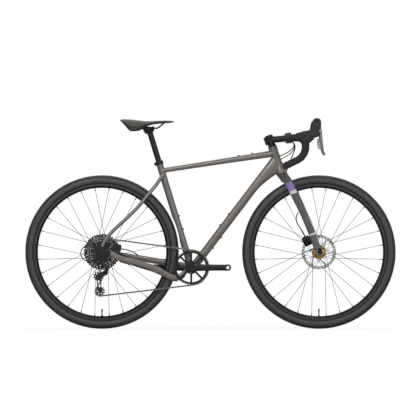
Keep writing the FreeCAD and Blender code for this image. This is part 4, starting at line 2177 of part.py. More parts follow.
def caliper(centre, along, out, axle, rotor_y):
    # 'out' points away from what carries it.
    sections = []
    for where, grown in zip(caliper_shares, caliper_size_shares):
        spot = centre + along * (S.caliper_length * half * where)
        sections.append(section(spot, along, out, S.caliper_height * half * grown,
                                S.caliper_width * half * grown, cradle_power))
    body = loft(sections)
    cap_reach = S.caliper_width * half + S.caliper_piston_height
    cap = rod(centre, centre + axis_y * cap_reach, S.caliper_piston_radius)
    bolts = []
    for way in (1, -1):
        spot = centre + along * (way * S.caliper_length * half * half * 1.3)
        bolts.append(rod(spot, spot + out * (S.caliper_height * half + S.caliper_bolt_radius),
                         S.caliper_bolt_head_radius))
    spin_room = rod(Vec(axle.x, rotor_y - S.caliper_slot * half, axle.z),
                    Vec(axle.x, rotor_y + S.caliper_slot * half, axle.z), S.rotor_diameter * half + S.caliper_slot)
    return body.fuse([cap] + bolts).cut(spin_room).removeSplitter()


front_where = 1 - S.front_caliper_reach / (front_axle_spot - leg_top).Length
front_bow = 0.6
front_spot = leg_point(left_side, front_where, front_bow)
leg_down = front_axle_spot - leg_top
leg_down.normalize()
leg_back = Vec(leg_down.z, 0, -leg_down.x)
leg_half = (S.fork_leg_low_length + S.fork_leg_mid_length) * half * half
front_centre = front_spot + leg_back * (leg_half + S.caliper_height * half + S.free_gap)
front_centre.y = front_rotor_y
# The spokes on the rotor's side turn inside this cone.
spoke_out = S.front_flange_left_y + S.flange_width * half + S.spoke_radius * 2 + S.spoke_lift + S.free_gap
spoke_room = Part.makeCone(S.rim_inner_radius, S.flange_circle_radius, spoke_out, front_axle_spot, axis_y)
front_caliper = caliper(front_centre, leg_down, leg_back, front_axle_spot, front_rotor_y)
front_caliper = front_caliper.cut(fork.Shape).cut(spoke_room)
keep(feature("front_caliper", sorted(front_caliper.Solids, key=lambda solid: solid.Volume)[-1]))
stay_along = stay_to - stay_from
stay_along.normalize()
stay_up = Vec(-stay_along.z, 0, stay_along.x)
rear_centre = rear_axle_spot + stay_along * S.rear_caliper_reach + stay_up * (
    S.chainstay_tip_height * half + S.caliper_height * half + S.free_gap)
rear_centre.y = rear_rotor_y
rear_caliper = caliper(rear_centre, stay_along, stay_up, rear_axle_spot, rear_rotor_y).cut(left_blank)
rear_caliper = rear_caliper.cut(plate_core).cut(seatstays.Shape)
keep(feature("rear_caliper", sorted(rear_caliper.Solids, key=lambda solid: solid.Volume)[-1]))

# Lines: each a run of straights and arcs, trimmed where it enters its port.


def line_of(points, radius, tools):
    wire, radii = rounded(points)
    shape = pipe(wire, radius)
    for tool in tools:
        shape = shape.cut(tool)
    body = sorted(shape.Solids, key=lambda solid: solid.Volume)[-1]
    print("line bend %.1f length %.1f" % (min(radii), wire.Length))
    return body


def offsets_from(base, table):
    return [base + Vec(*row) for row in table]


tape_rooms = []
for side in (right_side, left_side):
    tape_rooms.append(pipe(rounded(tape_route(side, 0), bar_bends)[0], S.tape_radius + S.fit_gap))
head_room = turned_shape([(0, 0), (S.head_tube_low_radius, 0), (S.head_tube_waist_radius + S.free_gap,
                          S.head_tube_length * half), (S.head_tube_top_radius, S.head_tube_length),
                          (0, S.head_tube_length)], head_low, head_up)
brake_offsets = ((6, -72, -7), (21, -68, -18), (27, -56, -33), (19, -38, -49), (2, -18, -63), (-18, 2, -74),
                 (-36, 17, -82), (-56, 18, -88))
shift_offsets = ((4, -84, -7), (22, -80, -22), (29, -66, -39), (23, -45, -57), (6, -22, -74), (-15, 0, -88),
                 (-34, 17, -98), (-55, 19, -105))
brake_run = line_of(offsets_from(bar_spot, brake_offsets), S.hose_radius, [tape_rooms[0], head_room])
shift_run = line_of(offsets_from(bar_spot, shift_offsets), S.housing_radius, [tape_rooms[0], head_room])
keep(feature("control_lines", Part.makeCompound([brake_run, shift_run])))

drop_offsets = ((6, 72, -7), (24, 68, -20), (32, 61, -36), (28, 55, -60), (17, 50, -86), (5, 46, -112),
                (-5, 43, -140), (-11, 41, -166), (-15, 40, -192))
front_upper = line_of(offsets_from(bar_spot, drop_offsets), S.hose_radius, [tape_rooms[1], fork.Shape])
front_port = front_centre - leg_down * (S.caliper_length * half) + axis_y * (S.caliper_width * half * half)
port_along = (leg_down * -1, leg_back)
port_shares = ((0.0, 0.0), (0.5, 0.0), (1.1, 0.12), (1.65, 0.2), (2.15, 0.05), (2.5, -0.35))
front_route = []
for along, out in port_shares:
    front_route.append(front_port + port_along[0] * (S.caliper_length * along) + port_along[1] * (
        S.caliper_length * out) + axis_y * (S.fork_leg_low_width * half * half * half * along))
front_lower = line_of(front_route, S.hose_radius, [fork.Shape, front_caliper])
keep(feature("front_brake_hose", Part.makeCompound([front_upper, front_lower])))

rear_port = rear_centre + stay_along * (S.caliper_length * half) - axis_y * (S.caliper_width * half * half)
hose_shares = ((0.0, 0.0), (0.45, 0.0), (0.95, -0.06), (1.45, -0.25), (1.9, -0.6), (2.35, -1.1))
rear_route = []
for along, up in hose_shares:
    rear_route.append(rear_port + stay_along * (S.caliper_length * along) + stay_up * (S.caliper_height * up))
rear_hose = line_of(rear_route, S.hose_radius, [rear_caliper, left_blank])
keep(feature("rear_brake_hose", rear_hose))

under_route = []
for index in range(1, 9):
    under = right_heights[index] * half + S.housing_radius + S.free_gap
    under_route.append(right_points[index] - axis_z * under)
under_run = line_of(under_route, S.housing_radius, [right_blank])
loop_offsets = ((-14, -75, 12), (-36, -75, 27), (-59, -76, 34), (-81, -78, 28), (-96, -80, 10), (-99, -82, -12),
                (-90, -85, -30), (-70, -88, -43), (-46, -91, -51), (-20, -92, -54))
shift_loop = line_of(offsets_from(rear_axle_spot, loop_offsets), S.housing_radius,
                     [plate_core, seatstays.Shape, doc.getObjectsByLabel("derailleur_b_knuckle")[0].Shape])
keep(feature("shift_housing", Part.makeCompound([under_run, shift_loop])))

# Bolts in the frame's bosses, each on a small collar.


def boss(shape, inside, out):
    # Seated where a ray from inside the tube leaves it.
    ray = Part.LineSegment(inside, inside + out * S.saddle_length).toShape().common(shape)
    reach = max((vertex.Point - inside).Length for vertex in ray.Vertexes)
    return turned_shape([
        (0, S.fit_gap),
        (S.boss_collar_radius, S.fit_gap),
        (S.boss_collar_radius, S.boss_collar_height),
        (S.boss_bolt_radius, S.boss_collar_height),
        (S.boss_bolt_radius, S.boss_collar_height + S.boss_bolt_height),
        (0, S.boss_collar_height + S.boss_bolt_height),
    ], inside + out * reach, out).cut(shape)


bosses = []
for step in range(2):
    along = S.bottle_spacing * step
    bosses.append(boss(seat_core, shell_spot + seat_up * (S.seat_bottle_reach + along), seat_forward))
    bosses.append(boss(down_blank, shell_spot + down_along * (S.down_bottle_reach + along), down_up))
    bosses.append(boss(down_blank, shell_spot + down_along * (S.down_low_bottle_reach + along), down_up * -1))
    bosses.append(boss(top_blank, top_start + top_along * (S.top_bag_reach + along), top_up))
keep(feature("boss_bolts", Part.makeCompound(bosses)))


# Checks, then one file per node

for thing in doc.Objects:
    if "Invalid" in thing.State or "Error" in thing.State:
        raise RuntimeError("%s did not build" % thing.Label)
for thing in nodes:
    if thing.Shape.isNull() or not thing.Shape.isValid():
        raise RuntimeError("%s has no valid shape" % thing.Label)
os.makedirs("parts", exist_ok=True)
for thing in nodes:
    thing.Shape.exportStep("parts/%s.step" % thing.Label)
print("wrote", len(nodes), "nodes")
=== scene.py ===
import json
import math
import bmesh
import bpy
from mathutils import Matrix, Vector


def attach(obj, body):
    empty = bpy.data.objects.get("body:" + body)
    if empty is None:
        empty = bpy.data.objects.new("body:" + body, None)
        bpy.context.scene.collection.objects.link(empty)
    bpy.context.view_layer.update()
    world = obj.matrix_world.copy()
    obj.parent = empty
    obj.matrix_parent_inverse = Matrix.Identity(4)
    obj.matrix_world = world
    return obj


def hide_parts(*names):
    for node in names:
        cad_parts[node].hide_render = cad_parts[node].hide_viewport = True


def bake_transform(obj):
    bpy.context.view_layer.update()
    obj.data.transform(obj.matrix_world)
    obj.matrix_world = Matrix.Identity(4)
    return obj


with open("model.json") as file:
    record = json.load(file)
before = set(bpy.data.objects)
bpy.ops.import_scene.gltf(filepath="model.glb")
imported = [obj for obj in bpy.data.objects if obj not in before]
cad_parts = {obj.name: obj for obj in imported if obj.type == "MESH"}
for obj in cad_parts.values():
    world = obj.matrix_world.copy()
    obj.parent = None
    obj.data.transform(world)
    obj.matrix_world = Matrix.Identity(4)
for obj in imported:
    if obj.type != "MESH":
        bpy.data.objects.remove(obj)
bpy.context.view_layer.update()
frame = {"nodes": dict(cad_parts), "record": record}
scene = bpy.context.scene
millimetre = 0.001
middleBand = (0.3, 0.7)  # where most of a noise texture's values lie
print("stage: frame loaded with", len(frame["nodes"]), "nodes")


def linearColour(hexText):
    channels = [int(hexText[place:place + 2], 16) / 255 for place in (1, 3, 5)]
    linear = [c / 12.92 if c <= 0.04045 else ((c + 0.055) / 1.055) ** 2.4 for c in channels]
    return (*linear, 1.0)


# adds one node: settings are its own properties, inputs are values or sockets to link
def addNode(tree, kind, settings=None, inputs=None):
    node = tree.nodes.new(kind)
    for name, value in (settings or {}).items():
        setattr(node, name, value)
    for name, value in (inputs or {}).items():
        if isinstance(value, bpy.types.NodeSocket):
            tree.links.new(value, node.inputs[name])
        else:
            node.inputs[name].default_value = value
    return node


# the stage: a very long lens, so both sides of the bar fall together, and three soft boxes
cameraView = {
    "place": (-0.0114, -60.0, 0.5603),
    "seenWidth": 1.93,
    "sensor": 36.0,
    "farClip": 160.0,
}
cameraData = bpy.data.cameras.new("sideCamera")
cameraData.sensor_width = cameraView["sensor"]
cameraData.lens = cameraView["sensor"] * -cameraView["place"][1] / cameraView["seenWidth"]
cameraData.clip_end = cameraView["farClip"]
camera = bpy.data.objects.new("sideCamera", cameraData)
camera.location = cameraView["place"]
camera.rotation_euler = (math.radians(90), 0, 0)
scene.collection.objects.link(camera)
scene.camera = camera

softBoxes = {
    "keyBox": {"place": (-0.9, -4.4, 2.9), "size": (3.2, 2.0), "watts": 150},
    "fillBox": {"place": (2.8, -4.2, 1.2), "size": (2.0, 2.0), "watts": 40},
    "rimBox": {"place": (0.2, 2.4, 3.8), "size": (4.0, 2.0), "watts": 70},
}
aimPoint = Vector((0, 0, 0.5))
for boxName, box in softBoxes.items():
    lampData = bpy.data.lights.new(boxName, "AREA")
    lampData.shape = "RECTANGLE"
    lampData.size, lampData.size_y = box["size"]
    lampData.energy = box["watts"]
    lamp = bpy.data.objects.new(boxName, lampData)
    lamp.location = box["place"]
    lamp.rotation_euler = (aimPoint - lamp.location).to_track_quat("-Z", "Y").to_euler()
    scene.collection.objects.link(lamp)

studio = {"sky": "#ffffff", "ambient": 0.26, "floorReach": 6.0, "floorWhite": 0.84, "floorPaint": "#f4f4f3",
          "fadeFrom": 0.45, "fadeTo": 1.3}
scene.view_settings.view_transform = "Standard"
scene.world = bpy.data.worlds.new("whiteSweep")
scene.world.use_nodes = True
worldTree = scene.world.node_tree
worldTree.nodes.clear()
seenBy = addNode(worldTree, "ShaderNodeLightPath")
seenOrGlossy = addNode(worldTree, "ShaderNodeMath", {"operation": "MAXIMUM"})
worldTree.links.new(seenBy.outputs["Is Camera Ray"], seenOrGlossy.inputs[0])
worldTree.links.new(seenBy.outputs["Is Glossy Ray"], seenOrGlossy.inputs[1])
seenAtAll = addNode(worldTree, "ShaderNodeMath", {"operation": "MAXIMUM"})
worldTree.links.new(seenOrGlossy.outputs[0], seenAtAll.inputs[0])
worldTree.links.new(seenBy.outputs["Is Transmission Ray"], seenAtAll.inputs[1])
dimSky = addNode(worldTree, "ShaderNodeBackground", None, {"Strength": studio["ambient"]})
whiteSky = addNode(worldTree, "ShaderNodeBackground", None, {"Strength": 1.0})
dimSky.inputs["Color"].default_value = linearColour(studio["sky"])
whiteSky.inputs["Color"].default_value = linearColour(studio["sky"])
skyMix = addNode(worldTree, "ShaderNodeMixShader", None, {"Fac": seenAtAll.outputs[0]})
worldTree.links.new(dimSky.outputs[0], skyMix.inputs[1])
worldTree.links.new(whiteSky.outputs[0], skyMix.inputs[2])
addNode(worldTree, "ShaderNodeOutputWorld", None, {"Surface": skyMix.outputs[0]})

# matt white sweep: part of it is plain white to the camera, the rest keeps the shadow
floorMaterial = bpy.data.materials.new("mattSweepPaper")
floorMaterial.use_nodes = True
floorTree = floorMaterial.node_tree
floorTree.nodes.clear()
floorPath = addNode(floorTree, "ShaderNodeLightPath")
floorPlace = addNode(floorTree, "ShaderNodeTexCoord")
floorRadius = addNode(floorTree, "ShaderNodeVectorMath", {"operation": "LENGTH"},
                      {0: floorPlace.outputs["Object"]})
# the paper fades to plain white away from the object, so no edge of it shows
floorFade = addNode(floorTree, "ShaderNodeMapRange", {"interpolation_type": "SMOOTHSTEP"}, {
    "Value": floorRadius.outputs["Value"], "From Min": studio["fadeFrom"], "From Max": studio["fadeTo"],
    "To Min": studio["floorWhite"], "To Max": 1.0})
floorShare = addNode(floorTree, "ShaderNodeMath", {"operation": "MULTIPLY"})
floorTree.links.new(floorPath.outputs["Is Camera Ray"], floorShare.inputs[0])
floorTree.links.new(floorFade.outputs[0], floorShare.inputs[1])
floorPaint = addNode(floorTree, "ShaderNodeBsdfDiffuse", None,
                     {"Color": linearColour(studio["floorPaint"])})
floorGlow = addNode(floorTree, "ShaderNodeEmission", None, {"Strength": 1.0})
floorMix = addNode(floorTree, "ShaderNodeMixShader", None, {"Fac": floorShare.outputs[0]})
floorTree.links.new(floorPaint.outputs[0], floorMix.inputs[1])
floorTree.links.new(floorGlow.outputs[0], floorMix.inputs[2])
addNode(floorTree, "ShaderNodeOutputMaterial", None, {"Surface": floorMix.outputs[0]})
floorMesh = bpy.data.meshes.new("studioFloor")
reach = studio["floorReach"]
floorMesh.from_pydata([(-reach, -reach, 0), (reach, -reach, 0), (reach, reach, 0), (-reach, reach, 0)],
                      [], [(0, 1, 2, 3)])
floorMesh.materials.append(floorMaterial)
floor = bpy.data.objects.new("studioFloor", floorMesh)
scene.collection.objects.link(floor)
print("stage: camera, lights and floor")

# grain sizes in mm; the finest are drawn coarser than life so that they show
finishes = {
    # metallic paint on welded aluminium: warm grey, fine flake under a thin clear coat
    "flakePaint": {"pale": "#6c6662", "deep": "#57534f", "grain": 1.6,
                   "metallic": 0.45, "rough": (0.32, 0.44), "bump": 0.02, "coat": 0.1, "shine": 0.3},
    # black anodised aluminium, bead blasted: soft even sheen with tiny pits
    "anodisedBlack": {"pale": "#131314", "deep": "#0a0a0b", "grain": 0.9,
                      "metallic": 0.3, "rough": (0.34, 0.48), "bump": 0.05, "coat": 0.0, "shine": 0.3},
    # black oxide steel: harder gloss, oily patches
    "blackSteel": {"pale": "#1d1d1e", "deep": "#0f0f10", "grain": 3.0,
                   "metallic": 0.5, "rough": (0.25, 0.42), "bump": 0.03, "coat": 0.0, "shine": 0.35},
    # blackened sprocket steel, worn bright in patches by the chain
    "wornSteel": {"pale": "#39393a", "deep": "#0e0e0f", "grain": 5.0, "spread": 0.16, "metallic": 0.8,
                  "rough": (0.22, 0.38), "bump": 0.03, "coat": 0.0, "shine": 0.4},
    # plain machined steel with faint handling marks
    "machinedSteel": {"pale": "#d0d0ce", "deep": "#b2b2b0", "grain": 2.2,
                      "metallic": 1.0, "rough": (0.2, 0.32), "bump": 0.02, "coat": 0.0, "shine": 0.5},
    # copper anodised aluminium, turned and polished
    "copperAnodised": {"pale": "#b08a34", "deep": "#4a150b", "grain": 7.0, "spread": 0.12,
                       "metallic": 1.0, "rough": (0.12, 0.22), "bump": 0.02, "coat": 0.0, "shine": 0.5},
    # black paint on spokes, rails and small plugs: dull, with no bright line along a wire
    "blackedWire": {"pale": "#0e0e0f", "deep": "#070708", "grain": 2.0,
                    "metallic": 0.0, "rough": (0.45, 0.6), "bump": 0.02, "coat": 0.0, "shine": 0.12},
    # grey painted forging of the shift paddle: satin, slightly pearly
    "satinGrey": {"pale": "#8e8f90", "deep": "#747577", "grain": 1.2,
                  "metallic": 0.6, "rough": (0.3, 0.42), "bump": 0.02, "coat": 0.1, "shine": 0.5},
    # nickel plated chain links with a film of old oil between them
    "oiledNickel": {"pale": "#777775", "deep": "#2c2b2a", "grain": 9.0, "spread": 0.25,
                    "metallic": 1.0, "rough": (0.26, 0.45), "bump": 0.03, "coat": 0.0, "shine": 0.5},
    # glass filled nylon, moulded: dull with a fine sand texture
    "mouldedNylon": {"pale": "#1c1c1d", "deep": "#131314", "grain": 0.8,
                     "metallic": 0.0, "rough": (0.5, 0.68), "bump": 0.12, "coat": 0.0, "shine": 0.3},
    # silicone rubber over the lever bodies: soft matt with a pebbled grip
    "hoodRubber": {"pale": "#222122", "deep": "#171617", "grain": 1.4,
                   "metallic": 0.0, "rough": (0.55, 0.72), "bump": 0.25, "coat": 0.0, "shine": 0.25},
    # braided and jacketed control lines: smooth black nylon
    "lineJacket": {"pale": "#0f0f10", "deep": "#09090a", "grain": 1.0,
                   "metallic": 0.0, "rough": (0.32, 0.45), "bump": 0.04, "coat": 0.0, "shine": 0.3},
}
finishDetail = 3.0
cloudSize = 45.4545  # mm, the broad patches of duller and glossier surface
cloudDetail = 4.0
evenSpread = 0.5
made = {}


def newMaterial(name):
    material = bpy.data.materials.new(name)
    material.use_nodes = True
    tree = material.node_tree
    coordinate = addNode(tree, "ShaderNodeTexCoord")
    made[name] = material
    return tree, tree.nodes["Principled BSDF"], coordinate.outputs["Object"]


for finishName, finish in finishes.items():
    tree, shader, place = newMaterial(finishName)
    # one fine grain for colour and bump, one broad cloud for the roughness
    grain = addNode(tree, "ShaderNodeTexNoise", None,
                    {"Vector": place, "Scale": 1 / (finish["grain"] * millimetre), "Detail": finishDetail})
    cloud = addNode(tree, "ShaderNodeTexNoise", None,
                    {"Vector": place, "Scale": 1 / (cloudSize * millimetre), "Detail": cloudDetail})
    tint = addNode(tree, "ShaderNodeMix", {"data_type": "RGBA"})
    spread = finish.get("spread", evenSpread)
    patches = addNode(tree, "ShaderNodeMapRange", None, {
        "Value": grain.outputs["Fac"], "From Min": 0.5 - spread, "From Max": 0.5 + spread})
    tree.links.new(patches.outputs[0], tint.inputs["Factor"])
    tint.inputs[6].default_value = linearColour(finish["deep"])
    tint.inputs[7].default_value = linearColour(finish["pale"])
    sheen = addNode(tree, "ShaderNodeMapRange", None, {
        "Value": cloud.outputs["Fac"], "From Min": middleBand[0], "From Max": middleBand[1],
        "To Min": finish["rough"][0], "To Max": finish["rough"][1]})
    relief = addNode(tree, "ShaderNodeBump", None, {
        "Height": grain.outputs["Fac"], "Strength": finish["bump"], "Distance": millimetre})
    tree.links.new(tint.outputs[2], shader.inputs["Base Color"])
    tree.links.new(sheen.outputs[0], shader.inputs["Roughness"])
    tree.links.new(relief.outputs[0], shader.inputs["Normal"])
    shader.inputs["Metallic"].default_value = finish["metallic"]
    shader.inputs["Coat Weight"].default_value = finish["coat"]
    shader.inputs["Specular IOR Level"].default_value = finish["shine"]

# fork paint: satin over moulded carbon, blocked in plain bands square to the leg
forkBands = {
    "from": (0.329573, 0, 0.721448), "along": (0.325568, 0, -0.945519), "length": 0.4,
    "colours": ((0, "#413e3c"), (0.05, "#75649a"), (0.091, "#b9b8b6"), (0.107, "#47464a"),
                (0.309, "#b9b8b6"), (0.317, "#4f4e4d")),
    "cloud": 25, "detail": 5.0, "shade": (0.82, 1.1), "rough": (0.32, 0.44), "metallic": 0.2, "shine": 0.35,
}
tree, shader, place = newMaterial("bandedForkPaint")
fromTop = addNode(tree, "ShaderNodeVectorMath", {"operation": "SUBTRACT"}, {0: place, 1: forkBands["from"]})
alongLeg = addNode(tree, "ShaderNodeVectorMath", {"operation": "DOT_PRODUCT"},
                   {0: fromTop.outputs[0], 1: forkBands["along"]})
legShare = addNode(tree, "ShaderNodeMapRange", None,
                   {"Value": alongLeg.outputs["Value"], "From Max": forkBands["length"]})
bands = addNode(tree, "ShaderNodeValToRGB", None, {"Fac": legShare.outputs[0]})
bands.color_ramp.interpolation = "CONSTANT"
for index, (distance, hexText) in enumerate(forkBands["colours"]):
    share = distance / forkBands["length"]
    stop = bands.color_ramp.elements[0] if index == 0 else bands.color_ramp.elements.new(share)
    stop.color = linearColour(hexText)
bands.color_ramp.elements.remove(bands.color_ramp.elements[-1])
cloud = addNode(tree, "ShaderNodeTexNoise", None, {
    "Vector": place, "Scale": 1 / (forkBands["cloud"] * millimetre), "Detail": forkBands["detail"]})
shade = addNode(tree, "ShaderNodeMapRange", None, {
    "Value": cloud.outputs["Fac"], "To Min": forkBands["shade"][0], "To Max": forkBands["shade"][1]})
tint = addNode(tree, "ShaderNodeVectorMath", {"operation": "SCALE"},
               {"Vector": bands.outputs["Color"], "Scale": shade.outputs[0]})
sheen = addNode(tree, "ShaderNodeMapRange", None, {
    "Value": cloud.outputs["Fac"], "From Min": middleBand[0], "From Max": middleBand[1],
    "To Min": forkBands["rough"][0], "To Max": forkBands["rough"][1]})
tree.links.new(tint.outputs[0], shader.inputs["Base Color"])
tree.links.new(sheen.outputs[0], shader.inputs["Roughness"])
shader.inputs["Metallic"].default_value = forkBands["metallic"]
shader.inputs["Specular IOR Level"].default_value = forkBands["shine"]

# lever blades: cast alloy, satin grey on the flanks, with painted shade darkening them round the edges
# the edge colour is the painted shade round the blade's edges
leverGreyAndEdgeShade = {"flank": "#666769", "edge": "#0c0c0d", "turn": (0.72, 0.97), "grain": 1.1111, "detail": 2.0,
             "bump": 0.04, "rough": 0.36, "metallic": 0.5}
tree, shader, place = newMaterial("castLeverGreyEdgeShade")
facing = addNode(tree, "ShaderNodeTexCoord")
split = addNode(tree, "ShaderNodeSeparateXYZ", None, {"Vector": facing.outputs["Normal"]})
sideways = addNode(tree, "ShaderNodeMath", {"operation": "ABSOLUTE"}, {0: split.outputs["Y"]})
# painted shade: faces turned away from the sides take the dark edge colour
flank = addNode(tree, "ShaderNodeMapRange", {"interpolation_type": "SMOOTHSTEP"}, {
    "Value": sideways.outputs[0], "From Min": leverGreyAndEdgeShade["turn"][0], "From Max": leverGreyAndEdgeShade["turn"][1]})
cast = addNode(tree, "ShaderNodeTexNoise", None, {
    "Vector": place, "Scale": 1 / (leverGreyAndEdgeShade["grain"] * millimetre), "Detail": leverGreyAndEdgeShade["detail"]})
tint = addNode(tree, "ShaderNodeMix", {"data_type": "RGBA"}, {"Factor": flank.outputs[0]})
tint.inputs[6].default_value = linearColour(leverGreyAndEdgeShade["edge"])
tint.inputs[7].default_value = linearColour(leverGreyAndEdgeShade["flank"])
relief = addNode(tree, "ShaderNodeBump", None, {
    "Height": cast.outputs["Fac"], "Strength": leverGreyAndEdgeShade["bump"], "Distance": millimetre})
tree.links.new(tint.outputs[2], shader.inputs["Base Color"])
tree.links.new(relief.outputs[0], shader.inputs["Normal"])
shader.inputs["Roughness"].default_value = leverGreyAndEdgeShade["rough"]
shader.inputs["Metallic"].default_value = leverGreyAndEdgeShade["metallic"]

# brake rotors: punched stainless steel, ground in rings about the axle
rotorLook = {"pale": "#a9a9a7", "deep": "#6f6f6d", "ringPitch": 2.4, "wander": 1.5, "detail": 3.0,
             "bump": 0.05, "rough": 0.26}
waveRate = 0.3  # a wave texture repeats about every 0.3 / scale
wheelPlaces = {"front": 0.503, "rear": -0.503}
axleHeight = 0.356
for end, axleX in wheelPlaces.items():
    tree, shader, place = newMaterial(end + "RotorSteel")
    centred = addNode(tree, "ShaderNodeMapping", None,
                      {"Vector": place, "Location": (-axleX, 0, -axleHeight)})
    rings = addNode(tree, "ShaderNodeTexWave", {"wave_type": "RINGS", "rings_direction": "Y"}, {
        "Vector": centred.outputs[0], "Scale": waveRate / (rotorLook["ringPitch"] * millimetre),
        "Distortion": rotorLook["wander"], "Detail": rotorLook["detail"]})
    tint = addNode(tree, "ShaderNodeMix", {"data_type": "RGBA"})
    tree.links.new(rings.outputs["Fac"], tint.inputs["Factor"])
    tint.inputs[6].default_value = linearColour(rotorLook["deep"])
    tint.inputs[7].default_value = linearColour(rotorLook["pale"])
    relief = addNode(tree, "ShaderNodeBump", None, {
        "Height": rings.outputs["Fac"], "Strength": rotorLook["bump"], "Distance": millimetre})
    tree.links.new(tint.outputs[2], shader.inputs["Base Color"])
    tree.links.new(relief.outputs[0], shader.inputs["Normal"])
    shader.inputs["Metallic"].default_value = 1.0
    shader.inputs["Roughness"].default_value = rotorLook["rough"]

# colours a wheel's surfaces in rings about the axle, painted highlight bands among them, and gives the
# distance from it
ringRange = (0.29, 0.36)


def ringColoursAndHighlights(tree, centred, rings):
    flatten = addNode(tree, "ShaderNodeVectorMath", {"operation": "MULTIPLY"}, {0: centred, 1: (1, 0, 1)})
    radius = addNode(tree, "ShaderNodeVectorMath", {"operation": "LENGTH"}, {0: flatten.outputs[0]})
    share = addNode(tree, "ShaderNodeMapRange", None, {
        "Value": radius.outputs["Value"], "From Min": ringRange[0], "From Max": ringRange[1]})
    ramp = addNode(tree, "ShaderNodeValToRGB", None, {"Fac": share.outputs[0]})
    for index, (distance, hexText) in enumerate(rings):
        spot = (distance - ringRange[0]) / (ringRange[1] - ringRange[0])
        stop = ramp.color_ramp.elements[0] if index == 0 else ramp.color_ramp.elements.new(spot)
        stop.color = linearColour(hexText)
    ramp.color_ramp.elements.remove(ramp.color_ramp.elements[-1])
    return ramp.outputs["Color"], radius.outputs["Value"]


# vulcanised tyre rubber: black tread, side wall with fine ribs under a grey band that is a painted
# highlight, black bead
tyreLookAndHighlight = {
    # the grey band from 0.3235 to 0.3415 m is a painted highlight
    "rings": ((0.29, "#090909"), (0.3215, "#090909"), (0.3235, "#323233"), (0.3415, "#323233"),
              (0.3455, "#0f0f0f")),
    "ribPitch": 2.2, "ribDepth": 0.5, "bump": 0.3, "wall": (0.3225, 0.344),
    "scuff": 11.1111, "detail": 5.0, "shade": (0.7, 1.3), "rough": (0.42, 0.58), "shine": 0.35,
}
# black anodised rims, blasted at both edges, with a paler band along the flank that is a painted highlight
rimLookAndHighlight = {
    # the paler band from 0.3075 to 0.3165 m is a painted highlight
    "rings": ((0.29, "#0a0a0b"), (0.3055, "#0c0c0d"), (0.3075, "#2e2e2f"), (0.3165, "#2e2e2f"),
              (0.3185, "#0a0a0b")),
    "cloud": 16.6667, "detail": 4.0, "rough": (0.3, 0.42), "metallic": 0.4, "shine": 0.35,
}
for end, axleX in wheelPlaces.items():
    tree, shader, place = newMaterial(end + "TyreRubberPaintedHighlight")
    centred = addNode(tree, "ShaderNodeMapping", None,
                      {"Vector": place, "Location": (-axleX, 0, -axleHeight)})
    colour, radius = ringColoursAndHighlights(tree, centred.outputs[0], tyreLookAndHighlight["rings"])
    onWall = addNode(tree, "ShaderNodeMath", {"operation": "COMPARE"}, {
        0: radius, 1: sum(tyreLookAndHighlight["wall"]) / 2, 2: (tyreLookAndHighlight["wall"][1] - tyreLookAndHighlight["wall"][0]) / 2})
    ribs = addNode(tree, "ShaderNodeTexWave", {"wave_type": "RINGS", "rings_direction": "Y"}, {
        "Vector": centred.outputs[0], "Scale": waveRate / (tyreLookAndHighlight["ribPitch"] * millimetre)})
    wallRibs = addNode(tree, "ShaderNodeMath", {"operation": "MULTIPLY"},
                       {0: ribs.outputs["Fac"], 1: onWall.outputs[0]})
    scuff = addNode(tree, "ShaderNodeTexNoise", None, {
        "Vector": place, "Scale": 1 / (tyreLookAndHighlight["scuff"] * millimetre), "Detail": tyreLookAndHighlight["detail"]})
    shade = addNode(tree, "ShaderNodeMapRange", None, {
        "Value": scuff.outputs["Fac"], "To Min": tyreLookAndHighlight["shade"][0], "To Max": tyreLookAndHighlight["shade"][1]})
    tint = addNode(tree, "ShaderNodeVectorMath", {"operation": "SCALE"},
                   {"Vector": colour, "Scale": shade.outputs[0]})
    relief = addNode(tree, "ShaderNodeBump", None, {
        "Height": wallRibs.outputs[0], "Strength": tyreLookAndHighlight["bump"],
        "Distance": tyreLookAndHighlight["ribDepth"] * millimetre})
    dull = addNode(tree, "ShaderNodeMapRange", None, {
        "Value": scuff.outputs["Fac"], "From Min": middleBand[0], "From Max": middleBand[1],
        "To Min": tyreLookAndHighlight["rough"][0], "To Max": tyreLookAndHighlight["rough"][1]})
    tree.links.new(tint.outputs[0], shader.inputs["Base Color"])
    tree.links.new(relief.outputs[0], shader.inputs["Normal"])
    tree.links.new(dull.outputs[0], shader.inputs["Roughness"])
    shader.inputs["Specular IOR Level"].default_value = tyreLookAndHighlight["shine"]

    tree, shader, place = newMaterial(end + "RimBlack")
    centred = addNode(tree, "ShaderNodeMapping", None,
                      {"Vector": place, "Location": (-axleX, 0, -axleHeight)})
    colour = ringColoursAndHighlights(tree, centred.outputs[0], rimLookAndHighlight["rings"])[0]
    cloud = addNode(tree, "ShaderNodeTexNoise", None, {
        "Vector": place, "Scale": 1 / (rimLookAndHighlight["cloud"] * millimetre), "Detail": rimLookAndHighlight["detail"]})
    satin = addNode(tree, "ShaderNodeMapRange", None, {
        "Value": cloud.outputs["Fac"], "From Min": middleBand[0], "From Max": middleBand[1],
        "To Min": rimLookAndHighlight["rough"][0], "To Max": rimLookAndHighlight["rough"][1]})
    tree.links.new(colour, shader.inputs["Base Color"])
    tree.links.new(satin.outputs[0], shader.inputs["Roughness"])
    shader.inputs["Metallic"].default_value = rimLookAndHighlight["metallic"]
    shader.inputs["Specular IOR Level"].default_value = rimLookAndHighlight["shine"]
